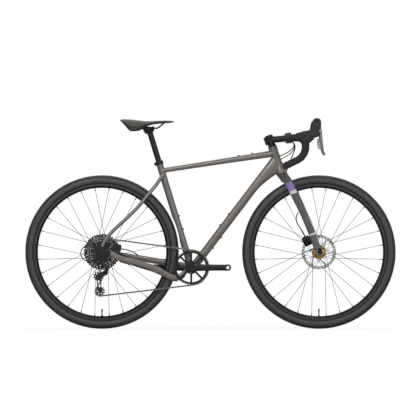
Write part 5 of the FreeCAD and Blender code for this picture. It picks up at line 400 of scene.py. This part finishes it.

# microfibre on saddle and bar: fine leather grain, dull, paler between its creases, with painted shade
# darkening the creases
skins = {
    "saddleMicrofibre": {"pale": "#55534b", "deep": "#403e38", "grain": 1.8, "rough": 0.62},
    "saddleEdgeSkin": {"pale": "#141414", "deep": "#0c0c0c", "grain": 1.8, "rough": 0.5},
    "barTapeSkin": {"pale": "#202021", "deep": "#141415", "grain": 1.5, "rough": 0.66},
}
skinRelief = {"crease": 0.15, "wear": 28.5714, "detail": 5.0, "bump": 0.35, "depth": 0.3, "shine": 0.25}
for skinName, skin in skins.items():
    tree, shader, place = newMaterial(skinName)
    cells = addNode(tree, "ShaderNodeTexVoronoi", {"feature": "DISTANCE_TO_EDGE"},
                    {"Vector": place, "Scale": 1 / (skin["grain"] * millimetre)})
    creaseDepthAndShade = addNode(tree, "ShaderNodeMapRange", None,
                      {"Value": cells.outputs["Distance"], "From Max": skinRelief["crease"]})
    wear = addNode(tree, "ShaderNodeTexNoise", None, {
        "Vector": place, "Scale": 1 / (skinRelief["wear"] * millimetre), "Detail": skinRelief["detail"]})
    # painted shade: the colour is deepest in the grain's creases, and also where the wear noise is low
    creaseShadeAndWear = addNode(tree, "ShaderNodeMath", {"operation": "MULTIPLY"})
    tree.links.new(creaseDepthAndShade.outputs[0], creaseShadeAndWear.inputs[0])
    tree.links.new(wear.outputs["Fac"], creaseShadeAndWear.inputs[1])
    tint = addNode(tree, "ShaderNodeMix", {"data_type": "RGBA"})
    tree.links.new(creaseShadeAndWear.outputs[0], tint.inputs["Factor"])
    tint.inputs[6].default_value = linearColour(skin["deep"])
    tint.inputs[7].default_value = linearColour(skin["pale"])
    relief = addNode(tree, "ShaderNodeBump", None, {
        "Height": creaseDepthAndShade.outputs[0], "Strength": skinRelief["bump"],
        "Distance": skinRelief["depth"] * millimetre})
    tree.links.new(tint.outputs[2], shader.inputs["Base Color"])
    tree.links.new(relief.outputs[0], shader.inputs["Normal"])
    shader.inputs["Roughness"].default_value = skin["rough"]
    shader.inputs["Specular IOR Level"].default_value = skinRelief["shine"]
print("stage:", len(made), "materials")


def addPiece(name, mesh, finishNames, body, nodes=()):
    # clearing a mesh's materials also clears its faces' choice of them
    if mesh.materials:
        mesh.materials.clear()
    for finishName in finishNames:
        mesh.materials.append(made[finishName])
    piece = bpy.data.objects.new(name, mesh)
    scene.collection.objects.link(piece)
    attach(piece, body)
    if nodes:
        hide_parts(*nodes)
    return piece


# turns an evaluated object with modifiers into a plain mesh and drops the object
def bakedMesh(maker, name):
    bpy.context.view_layer.update()
    graph = bpy.context.evaluated_depsgraph_get()
    mesh = bpy.data.meshes.new_from_object(maker.evaluated_get(graph), depsgraph=graph)
    mesh.name = name
    bpy.data.objects.remove(maker)
    return mesh


weldReach = 0.02 * millimetre


# welded copy of a CAD node: smooth where it curves, crisp at its edges
def smoothCopy(nodeName, edgeAngle):
    mesh = frame["nodes"][nodeName].data.copy()
    work = bmesh.new()
    work.from_mesh(mesh)
    bmesh.ops.remove_doubles(work, verts=work.verts, dist=weldReach)
    for face in work.faces:
        face.smooth = True
    for edge in work.edges:
        edge.smooth = edge.is_manifold and edge.calc_face_angle(math.pi) < math.radians(edgeAngle)
    work.to_mesh(mesh)
    work.free()
    return mesh


bodyOf = {}
for bodyName, members in frame["record"]["behaviour"]["bodies"].items():
    for member in members:
        bodyOf[member] = bodyName

# finish and slot of each node that keeps its CAD shape
frameNodes = ["head_tube", "top_tube", "down_tube", "seat_tube", "bottom_bracket_shell", "chainstay_right",
              "chainstay_left", "seatstays"]
alloyNodes = ["dropouts", "bottom_bracket_cups", "seat_collar", "rear_caliper", "front_caliper", "seatpost",
              "saddle_clamp", "headset_spacers", "stem", "stem_faceplate", "handlebar", "rear_hub",
              "crank_right", "crank_left", "chainring", "derailleur_b_knuckle", "derailleur_outer_link",
              "derailleur_inner_link", "derailleur_p_knuckle"]
steelNodes = ["headset_bearings", "rear_axle", "front_axle", "boss_bolts", "cockpit_bolts"]
plainNodes = [(name, "flakePaint", "frame_paint") for name in frameNodes]
plainNodes += [(name, "anodisedBlack", "black_alloy") for name in alloyNodes]
plainNodes += [(name, "blackSteel", "black_steel") for name in steelNodes]
plainNodes += [
    ("fork", "bandedForkPaint", "fork_paint"),
    ("cassette", "wornSteel", "black_steel"),
    ("derailleur_cage", "wornSteel", "black_steel"),
    ("front_hub", "copperAnodised", "copper_alloy"),
    ("front_rim", "frontRimBlack", "black_alloy"),
    ("rear_rim", "rearRimBlack", "black_alloy"),
    ("front_spokes", "blackedWire", "black_steel"),
    ("saddle_rails", "blackedWire", "black_steel"),
    ("rear_spokes", "blackedWire", "black_steel"),
    ("front_rotor", "frontRotorSteel", "silver_steel"),
    ("rear_rotor", "rearRotorSteel", "silver_steel"),
    ("chain", "oiledNickel", "chain_steel"),
    ("brake_lever_right", "castLeverGreyEdgeShade", "grey_alloy"),
    ("brake_lever_left", "castLeverGreyEdgeShade", "grey_alloy"),
    ("shift_paddle", "satinGrey", "grey_alloy"),
    ("bar_end_plugs", "mouldedNylon", "black_plastic"),
    ("saddle_base", "mouldedNylon", "black_plastic"),
    ("jockey_upper", "mouldedNylon", "black_plastic"),
    ("jockey_lower", "mouldedNylon", "black_plastic"),
]
edgeAngle = 32
for nodeName, finishName, slotName in plainNodes:
    skinMesh = smoothCopy(nodeName, edgeAngle)
    addPiece(nodeName + "_skin", skinMesh, [finishName], bodyOf[nodeName], [nodeName])
print("stage:", len(plainNodes), "welded skins")

# tyres: a round casing turned about the axle, with two shallow steps down its side walls
casing = {"steps": 192, "tread": 0.3554, "halfWidth": 0.0225, "beadAngle": 134, "beadTuck": 0.004,
          "sideStep": 0.0004, "stepAngles": (62, 112), "arcSteps": 48}


def tyreMesh(name, axleX):
    ringRadius = casing["tread"] - casing["halfWidth"]
    profile = []
    for step in range(casing["arcSteps"] + 1):
        angle = math.radians(casing["beadAngle"]) * (2 * step / casing["arcSteps"] - 1)
        # a step where the tread ends and one where the bead meets the rim
        passed = sum(abs(math.degrees(angle)) > stepAngle for stepAngle in casing["stepAngles"])
        inset = casing["sideStep"] * passed
        size = casing["halfWidth"] - inset
        profile.append((ringRadius + size * math.cos(angle), size * math.sin(angle)))
    tuck = casing["beadTuck"]
    profile.append((profile[-1][0] - tuck, profile[-1][1] - tuck))
    profile.append((profile[0][0] - tuck, profile[0][1] + tuck))
    work = bmesh.new()
    loops = []
    for step in range(casing["steps"]):
        turn = 2 * math.pi * step / casing["steps"]
        loop = []
        for radius, width in profile:
            spot = (axleX + radius * math.cos(turn), width, axleHeight + radius * math.sin(turn))
            loop.append(work.verts.new(spot))
        loops.append(loop)
    count = len(profile)
    for step in range(casing["steps"]):
        here, after = loops[step], loops[(step + 1) % casing["steps"]]
        for row in range(count):
            following = (row + 1) % count
            work.faces.new((here[row], here[following], after[following], after[row])).smooth = True
    bmesh.ops.recalc_face_normals(work, faces=work.faces)
    mesh = bpy.data.meshes.new(name)
    work.to_mesh(mesh)
    work.free()
    return mesh


for end, axleX in wheelPlaces.items():
    name = end + "_tyre_casing"
    casingMesh = tyreMesh(name, axleX)
    addPiece(name, casingMesh, [end + "TyreRubberPaintedHighlight"], end + "_wheel", [end + "_tyre"])
print("stage: tyre casings")

# tread: rows of short low ribs set round the crown, each row shifted half a step from the next
tread = {"count": 260, "lineSteps": 256, "rows": (-26, -13, 0, 13, 26), "block": (0.0012, 0.0026, 0.0046)}
treadTree = bpy.data.node_groups.new("treadRow", "GeometryNodeTree")
treadTree.interface.new_socket("Start", in_out="INPUT", socket_type="NodeSocketGeometry")
treadInputs = {}
for socketName, kind in (("Radius", "NodeSocketFloat"), ("Place", "NodeSocketVector"),
                         ("Turn", "NodeSocketVector"), ("Count", "NodeSocketInt"),
                         ("Block", "NodeSocketVector"), ("Skin", "NodeSocketMaterial")):
    socket = treadTree.interface.new_socket(socketName, in_out="INPUT", socket_type=kind)
    treadInputs[socketName] = socket.identifier
treadTree.interface.new_socket("Row", in_out="OUTPUT", socket_type="NodeSocketGeometry")
asked = addNode(treadTree, "NodeGroupInput").outputs
crownLine = addNode(treadTree, "GeometryNodeCurvePrimitiveCircle", None,
                    {"Resolution": tread["lineSteps"], "Radius": asked["Radius"]})
placedLine = addNode(treadTree, "GeometryNodeTransform", None, {
    "Geometry": crownLine.outputs[0], "Translation": asked["Place"], "Rotation": asked["Turn"]})
spots = addNode(treadTree, "GeometryNodeCurveToPoints", {"mode": "COUNT"},
                {"Curve": placedLine.outputs[0], "Count": asked["Count"]})
block = addNode(treadTree, "GeometryNodeMeshCube", None, {"Size": asked["Block"]})
ribRow = addNode(treadTree, "GeometryNodeInstanceOnPoints", None, {
    "Points": spots.outputs["Points"], "Instance": block.outputs[0], "Rotation": spots.outputs["Rotation"]})
ribsMade = addNode(treadTree, "GeometryNodeRealizeInstances", None, {"Geometry": ribRow.outputs[0]})
ribsSkinned = addNode(treadTree, "GeometryNodeSetMaterial", None,
                      {"Geometry": ribsMade.outputs[0], "Material": asked["Skin"]})
addNode(treadTree, "NodeGroupOutput", None, {"Row": ribsSkinned.outputs[0]})
for end, axleX in wheelPlaces.items():
    work = bmesh.new()
    for row, angle in enumerate(tread["rows"]):
        maker = bpy.data.objects.new("treadRow", bpy.data.meshes.new("treadRow"))
        scene.collection.objects.link(maker)
        setting = maker.modifiers.new("setting", "NODES")
        setting.node_group = treadTree
        size = casing["halfWidth"]
        halfStep = math.pi / tread["count"] * (row % 2)
        for socketName, value in (
                ("Radius", casing["tread"] - size + size * math.cos(math.radians(angle))),
                ("Place", (axleX, size * math.sin(math.radians(angle)), axleHeight)),
                ("Turn", (math.radians(90), halfStep, 0)),
                ("Count", tread["count"]),
                ("Block", tread["block"]),
                ("Skin", made[end + "TyreRubberPaintedHighlight"])):
            setting[treadInputs[socketName]] = value
        rowMesh = bakedMesh(maker, "treadRow")
        work.from_mesh(rowMesh)
        bpy.data.meshes.remove(rowMesh)
    name = end + "_tyre_tread"
    treadMesh = bpy.data.meshes.new(name)
    work.to_mesh(treadMesh)
    work.free()
    addPiece(name, treadMesh, [end + "TyreRubberPaintedHighlight"], end + "_wheel")
print("stage: tread ribs")

# bar tape: a cushioned strip wound up each side of the bar, every turn lapping the last
wrap = {"radius": 0.0158, "lap": 0.0014, "pitch": 0.022, "sides": 28, "step": 0.0025, "bendSteps": 14}
barSpot = Vector((0.362084, 0, 0.884721))
barCorners = [((0, 64, 0), 0), ((0, 204.96, 0), 42), ((79, 210, 3), 36), ((79, 215.94, -84), 70),
              ((-23, 228, -133.5), 0)]


def roundedRoute(corners, side):
    points = [barSpot + Vector((x, side * y, z)) * millimetre for (x, y, z), bend in corners]
    route = [points[0]]
    for index in range(1, len(points) - 1):
        corner = points[index]
        back = (points[index - 1] - corner).normalized()
        ahead = (points[index + 1] - corner).normalized()
        halfTurn = back.angle(ahead) / 2
        bend = corners[index][1] * millimetre
        reach = bend / math.tan(halfTurn)
        centre = corner + (back + ahead).normalized() * (bend / math.sin(halfTurn))
        start = corner + back * reach - centre
        finish = corner + ahead * reach - centre
        sweep = start.angle(finish)
        for step in range(wrap["bendSteps"] + 1):
            share = step / wrap["bendSteps"]
            first = math.sin((1 - share) * sweep) / math.sin(sweep)
            second = math.sin(share * sweep) / math.sin(sweep)
            route.append(centre + start * first + finish * second)
    route.append(points[-1])
    return route


tapeTree = bpy.data.node_groups.new("woundTape", "GeometryNodeTree")
tapeTree.interface.new_socket("Route", in_out="INPUT", socket_type="NodeSocketGeometry")
tapeInputs = {}
for socketName, kind in (("Radius", "NodeSocketFloat"), ("Lap", "NodeSocketFloat"),
                         ("Pitch", "NodeSocketFloat"), ("Step", "NodeSocketFloat"),
                         ("Sides", "NodeSocketInt"), ("Skin", "NodeSocketMaterial")):
    socket = tapeTree.interface.new_socket(socketName, in_out="INPUT", socket_type=kind)
    tapeInputs[socketName] = socket.identifier
tapeTree.interface.new_socket("Tape", in_out="OUTPUT", socket_type="NodeSocketGeometry")
asked = addNode(tapeTree, "NodeGroupInput").outputs
evenRoute = addNode(tapeTree, "GeometryNodeResampleCurve", {"mode": "LENGTH"},
                    {"Curve": asked["Route"], "Length": asked["Step"]})
alongRoute = addNode(tapeTree, "GeometryNodeSplineParameter")
routeLength = addNode(tapeTree, "GeometryNodeCaptureAttribute", None, {"Geometry": evenRoute.outputs[0]})
routeLength.capture_items.new("FLOAT", "Along")
tapeTree.links.new(alongRoute.outputs["Length"], routeLength.inputs["Along"])
ring = addNode(tapeTree, "GeometryNodeCurvePrimitiveCircle", None,
               {"Resolution": asked["Sides"], "Radius": asked["Radius"]})
aroundRing = addNode(tapeTree, "GeometryNodeSplineParameter")
ringShare = addNode(tapeTree, "GeometryNodeCaptureAttribute", None, {"Geometry": ring.outputs[0]})
ringShare.capture_items.new("FLOAT", "Around")
tapeTree.links.new(aroundRing.outputs["Factor"], ringShare.inputs["Around"])
tube = addNode(tapeTree, "GeometryNodeCurveToMesh", None, {
    "Curve": routeLength.outputs["Geometry"], "Profile Curve": ringShare.outputs["Geometry"],
    "Fill Caps": True})
turns = addNode(tapeTree, "ShaderNodeMath", {"operation": "DIVIDE"})
tapeTree.links.new(routeLength.outputs["Along"], turns.inputs[0])
tapeTree.links.new(asked["Pitch"], turns.inputs[1])
spiral = addNode(tapeTree, "ShaderNodeMath", {"operation": "ADD"})
tapeTree.links.new(turns.outputs[0], spiral.inputs[0])
tapeTree.links.new(ringShare.outputs["Around"], spiral.inputs[1])
saw = addNode(tapeTree, "ShaderNodeMath", {"operation": "FRACT"})
tapeTree.links.new(spiral.outputs[0], saw.inputs[0])
lift = addNode(tapeTree, "ShaderNodeMath", {"operation": "MULTIPLY"})
tapeTree.links.new(saw.outputs[0], lift.inputs[0])
tapeTree.links.new(asked["Lap"], lift.inputs[1])
outward = addNode(tapeTree, "GeometryNodeInputNormal")
push = addNode(tapeTree, "ShaderNodeVectorMath", {"operation": "SCALE"},
               {"Vector": outward.outputs[0], "Scale": lift.outputs[0]})
lapped = addNode(tapeTree, "GeometryNodeSetPosition", None,
                 {"Geometry": tube.outputs[0], "Offset": push.outputs[0]})
soft = addNode(tapeTree, "GeometryNodeSetShadeSmooth", None, {"Geometry": lapped.outputs[0]})
whole = addNode(tapeTree, "GeometryNodeRealizeInstances", None, {"Geometry": soft.outputs[0]})
skinned = addNode(tapeTree, "GeometryNodeSetMaterial", None,
                  {"Geometry": whole.outputs[0], "Material": asked["Skin"]})
addNode(tapeTree, "NodeGroupOutput", None, {"Tape": skinned.outputs[0]})
for side, sideName in ((-1, "right"), (1, "left")):
    curve = bpy.data.curves.new("tapeRoute", "CURVE")
    curve.dimensions = "3D"
    route = roundedRoute(barCorners, side)
    spline = curve.splines.new("POLY")
    spline.points.add(len(route) - 1)
    for point, spot in zip(spline.points, route):
        point.co = (*spot, 1)
    maker = bpy.data.objects.new("tapeRoute", curve)
    scene.collection.objects.link(maker)
    winding = maker.modifiers.new("winding", "NODES")
    winding.node_group = tapeTree
    for socketName, value in (("Radius", wrap["radius"]), ("Lap", wrap["lap"]),
                              ("Pitch", wrap["pitch"]), ("Step", wrap["step"]),
                              ("Sides", wrap["sides"]), ("Skin", made["barTapeSkin"])):
        winding[tapeInputs[socketName]] = value
    name = "bar_tape_" + sideName
    addPiece(name, bakedMesh(maker, name), ["barTapeSkin"], "steering", ["bar_tape"])
print("stage: bar tape wound")

# hoses and housings: points in mm from the bar or an axle; the first two run from the bar to the frame but
# ride on no body and stay where they are drawn
lineTube = {"aroundSteps": 5, "alongSteps": 12}
hoseRadius = 0.0025
housingRadius = 0.0022
frontAxle = Vector((wheelPlaces["front"], 0, axleHeight))
rearAxle = Vector((wheelPlaces["rear"], 0, axleHeight))
lineRoutes = {
    "brake_line": {"node": "control_lines", "body": None, "from": barSpot, "radius": hoseRadius, "points": (
        (6, -72, -7), (21, -68, -18), (27, -56, -33), (19, -38, -49),
        (2, -18, -63), (-18, 2, -74), (-36, 17, -82), (-56, 18, -88))},
    "shift_line": {"node": "control_lines", "body": None, "from": barSpot, "radius": housingRadius,
                   "points": (
        (4, -84, -7), (22, -80, -22), (29, -66, -39), (23, -45, -57),
        (6, -22, -74), (-15, 0, -88), (-34, 17, -98), (-55, 19, -105))},
    "front_hose_upper": {"node": "front_brake_hose", "body": "steering", "from": barSpot,
                         "radius": hoseRadius, "points": (
        (6, 72, -7), (24, 68, -20), (32, 61, -36), (28, 55, -60), (17, 50, -86),
        (5, 46, -112), (-5, 43, -140), (-11, 41, -166), (-15, 40, -192))},
    "front_hose_lower": {"node": "front_brake_hose", "body": "steering", "from": frontAxle,
                         "radius": hoseRadius, "points": (
        (-64.1, 46.5, 72.8), (-73.4, 47.3, 93.8), (-89.7, 48.3, 116.8),
        (-103.4, 49.2, 138.4), (-106.4, 50, 162.2), (-96.2, 50.6, 184.4))},
    "rear_hose": {"node": "rear_brake_hose", "body": "frame", "from": rearAxle, "radius": hoseRadius,
                  "points": (
        (88.6, 48.5, 14.6), (109, 48.5, 11.3), (131.4, 48.5, 5.5),
        (153, 48.5, -4.6), (171.5, 48.5, -19.7), (189.1, 48.5, -39.9))},
    "stay_housing": {"node": "shift_housing", "body": "frame", "from": rearAxle, "radius": housingRadius,
                     "points": (
        (83, -63.5, -45.2), (129.3, -54.5, -57.2), (175.6, -47.1, -71.7), (221.8, -41.4, -85.2),
        (268.1, -36.5, -103.1), (295.1, -34.4, -119.3), (322.1, -32.8, -132.8), (349.1, -30.3, -135.5))},
    "derailleur_loop": {"node": "shift_housing", "body": "frame", "from": rearAxle, "radius": housingRadius,
                        "points": (
        (-14, -75, 12), (-36, -75, 27), (-59, -76, 34), (-81, -78, 28), (-96, -80, 10),
        (-99, -82, -12), (-90, -85, -30), (-70, -88, -43), (-46, -91, -51), (-20, -92, -54))},
}
for name, line in lineRoutes.items():
    curve = bpy.data.curves.new(name, "CURVE")
    curve.dimensions = "3D"
    curve.bevel_depth = line["radius"]
    curve.bevel_resolution = lineTube["aroundSteps"]
    curve.resolution_u = lineTube["alongSteps"]
    curve.use_fill_caps = True
    route = [line["from"] + Vector(point) * millimetre for point in line["points"]]
    spline = curve.splines.new("NURBS")
    spline.points.add(len(route) - 1)
    for point, spot in zip(spline.points, route):
        point.co = (*spot, 1)
    spline.order_u = 3
    spline.use_endpoint_u = True
    maker = bpy.data.objects.new(name, curve)
    scene.collection.objects.link(maker)
    lineMesh = bakedMesh(maker, name)
    lineMesh.shade_smooth()
    lineMesh.materials.append(made["lineJacket"])
    piece = bpy.data.objects.new(name, lineMesh)
    scene.collection.objects.link(piece)
    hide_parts(line["node"])
    if line["body"]:
        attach(piece, line["body"])
    else:
        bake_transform(piece)
print("stage:", len(lineRoutes), "hoses and housings")

# lever hoods: one moulded cover each side, from a tail over the tape to the horn, slotted for the lever
# outlines in mm along and up
hoodShape = {
    "voxel": 0.0014, "smooth": 14, "softness": 0.5, "middle": 0.21, "halfWidth": 0.0175, "rim": 0.0045,
    "slotHalf": 0.0075,
    "outline": ((394.6, 905.5), (410.9, 909.7), (429.4, 915.7), (445.7, 918), (459.1, 921.3), (463.3, 930.1),
                (465.6, 950), (469.3, 959.3), (474.9, 964.9), (479.5, 973.2), (486, 976.5), (499.9, 975.5),
                (508.8, 969.5), (512, 957.4), (512, 931.5), (508.3, 915.2), (504.6, 901.3), (499, 890.2),
                (490.7, 888.8), (483.3, 885.1), (475.8, 875.8), (466.6, 866.5), (456.8, 859.1),
                (445.7, 863.7), (431.8, 870.2), (415.5, 873), (398.8, 873.9), (392.3, 885.1)),
    "slot": ((486, 936), (540, 936), (540, 856), (450, 856)),
    "layers": ((-1, 1), (-0.62, 0), (0.62, 0), (1, 1)),
    "slotLayers": ((-1, 0), (1, 0)),
}


# closed block over an outline: each layer gives a share of the half width and of the drawn-in rim
def outlineBlock(outline, middle, halfWidth, layers):
    work = bmesh.new()
    ring = [Vector((x, 0, z)) * millimetre for x, z in outline]
    centre = sum(ring, Vector()) / len(ring)
    rows = []
    for depth, inset in layers:
        row = []
        for spot in ring:
            drawn = spot - (spot - centre).normalized() * (hoodShape["rim"] * inset)
            drawn.y = middle + depth * halfWidth
            row.append(work.verts.new(drawn))
        rows.append(row)
    for low, high in zip(rows, rows[1:]):
        for index in range(len(ring)):
            after = (index + 1) % len(ring)
            work.faces.new((low[index], low[after], high[after], high[index]))
    work.faces.new(rows[0])
    work.faces.new(rows[-1])
    bmesh.ops.recalc_face_normals(work, faces=work.faces)
    mesh = bpy.data.meshes.new("outlineBlock")
    work.to_mesh(mesh)
    work.free()
    block = bpy.data.objects.new("outlineBlock", mesh)
    scene.collection.objects.link(block)
    return block


for side, sideName in ((-1, "right"), (1, "left")):
    middle = side * hoodShape["middle"]
    hoodMaker = outlineBlock(hoodShape["outline"], middle, hoodShape["halfWidth"], hoodShape["layers"])
    slotBlock = outlineBlock(hoodShape["slot"], middle, hoodShape["slotHalf"], hoodShape["slotLayers"])
    opened = hoodMaker.modifiers.new("slot", "BOOLEAN")
    opened.operation = "DIFFERENCE"
    opened.solver = "EXACT"
    opened.object = slotBlock
    remesh = hoodMaker.modifiers.new("remesh", "REMESH")
    remesh.mode = "VOXEL"
    remesh.voxel_size = hoodShape["voxel"]
    remesh.use_smooth_shade = True
    soften = hoodMaker.modifiers.new("soften", "SMOOTH")
    soften.iterations = hoodShape["smooth"]
    soften.factor = hoodShape["softness"]
    name = "lever_hood_" + sideName
    addPiece(name, bakedMesh(hoodMaker, name), ["hoodRubber"], "steering", ["lever_hoods"])
    bpy.data.objects.remove(slotBlock)
print("stage: lever hoods")

# small turned parts: lever pivot caps, the plug in the fork's tip and the seal under the head tube
discs = {
    "lever_pivot_cap_right": {"centre": (0.5061, -0.2278, 0.9166), "axis": (0, -1, 0), "long": (0, 0, 1),
                              "size": (0.0068, 0.0068), "thick": 0.0016, "finish": "machinedSteel",
                              "slot": "silver_steel"},
    "lever_pivot_cap_left": {"centre": (0.5061, 0.2278, 0.9166), "axis": (0, 1, 0), "long": (0, 0, 1),
                             "size": (0.0068, 0.0068), "thick": 0.0016, "finish": "machinedSteel",
                             "slot": "silver_steel"},
    "fork_tip_plug": {"centre": (0.5075, -0.0641, 0.3605), "axis": (0, -1, 0), "long": (-0.21, 0, 0.98),
                      "size": (0.017, 0.03), "thick": 0.0024, "finish": "blackedWire",
                      "slot": "black_plastic"},
    "headset_seal": {"centre": (0.32988, 0, 0.7205), "axis": (-0.325568, 0, 0.945519), "long": (0, 1, 0),
                     "size": (0.0512, 0.0512), "thick": 0.004, "finish": "blackedWire",
                     "slot": "black_plastic"},
}
discSteps = 48
discRims = ((0.5, 0.93), (0.3, 1), (-0.5, 1))
for name, disc in discs.items():
    work = bmesh.new()
    axis = Vector(disc["axis"]).normalized()
    longWay = Vector(disc["long"]).normalized()
    wideWay = axis.cross(longWay)
    rims = []
    for depth, share in discRims:
        rim = []
        for step in range(discSteps):
            angle = 2 * math.pi * step / discSteps
            spot = Vector(disc["centre"]) + axis * (disc["thick"] * depth)
            spot += wideWay * (disc["size"][0] / 2 * share * math.cos(angle))
            spot += longWay * (disc["size"][1] / 2 * share * math.sin(angle))
            rim.append(work.verts.new(spot))
        rims.append(rim)
    for low, high in zip(rims, rims[1:]):
        for step in range(discSteps):
            after = (step + 1) % discSteps
            work.faces.new((low[step], low[after], high[after], high[step])).smooth = True
    work.faces.new(rims[0])
    work.faces.new(rims[-1])
    bmesh.ops.recalc_face_normals(work, faces=work.faces)
    discMesh = bpy.data.meshes.new(name)
    work.to_mesh(discMesh)
    work.free()
    addPiece(name, discMesh, [disc["finish"]], "steering")
print("stage: caps, plug and seal")

# saddle cover: crowned foam under one skin, from the tail to the nose
cover = {
    "rearX": -0.4199, "length": 0.25, "topZ": 0.9715, "depth": 0.056, "halfWidth": 0.071,
    "shares": (0, .05, .18, .27, .38, .5, .6, .78, .93, 1),
    "top": (-.05, .02, 0, -.04, -.09, -.145, -.127, -.09, -.1, -.15),
    "low": (-.13, -.33, -.93, -.97, -.87, -.6, -.44, -.35, -.3, -.24),
    "width": (.42, .66, .96, 1, .92, .67, .49, .33, .27, .15),
    "rows": 56, "columns": 40, "power": 2.3,
    "edge": ((0.02, 0.75), (0.3, 0.42), (0.42, 0.36), (0.55, 0.42), (0.95, 0.55)),
    "channel": 0.0016, "channelWidth": 0.007, "tuck": 0.004, "tuckShare": 0.4, "tuckPower": 0.5, "fill": 0.9,
}


def between(table, share):
    stations = cover["shares"]
    for index in range(len(stations) - 1):
        if share <= stations[index + 1]:
            part = (share - stations[index]) / (stations[index + 1] - stations[index])
            # Catmull-Rom through the neighbours keeps the outline fair
            before = table[max(index - 1, 0)]
            after = table[min(index + 2, len(table) - 1)]
            start, end = table[index], table[index + 1]
            return 0.5 * (2 * start + (end - before) * part
                          + (2 * before - 5 * start + 4 * end - after) * part ** 2
                          + (3 * start - before - 3 * end + after) * part ** 3)
    return table[-1]


# how far up its side the cover is black: a band at the tail, half the flank ahead, all of the tip
def edgeHeight(share):
    for last, height in cover["edge"]:
        if share < last:
            return height
    return 1.0


def saddleMesh():
    work = bmesh.new()
    rows = []
    columns = cover["columns"]
    for row in range(cover["rows"] + 1):
        share = row / cover["rows"]
        x = cover["rearX"] + cover["length"] * share
        top = cover["topZ"] + cover["depth"] * between(cover["top"], share)
        low = cover["topZ"] + cover["depth"] * between(cover["low"], share)
        half = cover["halfWidth"] * between(cover["width"], share)
        loop = []
        for column in range(columns + 1):
            angle = math.pi * column / columns
            across = abs(math.cos(angle)) ** (2 / cover["power"]) * (1 if math.cos(angle) > 0 else -1)
            up = max(math.sin(angle), 0) ** (2 / cover["power"])
            groove = math.exp(-(across * half / cover["channelWidth"]) ** 2)
            middle = groove * cover["channel"] * math.sin(math.pi * share)
            loop.append(work.verts.new((x, -half * across, low + (top - low) * up - middle)))
        # the skin turns in under the edge and closes above the base
        for column in range(1, columns // 2):
            across = 1 - 2 * column / (columns / 2)
            deepest = min(cover["tuck"], (top - low) * cover["tuckShare"])
            tuck = deepest * math.sin(math.pi * column / (columns / 2)) ** cover["tuckPower"]
            loop.append(work.verts.new((x, half * across, low + tuck)))
        rows.append(loop)
    count = len(rows[0])
    for row in range(cover["rows"]):
        for column in range(count):
            after = (column + 1) % count
            near, far = rows[row], rows[row + 1]
            face = work.faces.new((near[column], near[after], far[after], far[column]))
            face.smooth = True
            rise = 0
            if column < columns:
                rise = math.sin(math.pi * (column + 0.5) / columns) ** (2 / cover["power"])
            share = (row + 0.5) / cover["rows"]
            face.material_index = 0 if rise > edgeHeight(share) else 1
    work.faces.new(rows[0]).smooth = True
    work.faces.new(rows[-1]).smooth = True
    bmesh.ops.recalc_face_normals(work, faces=work.faces)
    mesh = bpy.data.meshes.new("saddle_padding")
    work.to_mesh(mesh)
    work.free()
    return mesh


padding = addPiece("saddle_padding", saddleMesh(), ["saddleMicrofibre", "saddleEdgeSkin"], "seat",
                   ["saddle_cover"])
print("stage: saddle cover")
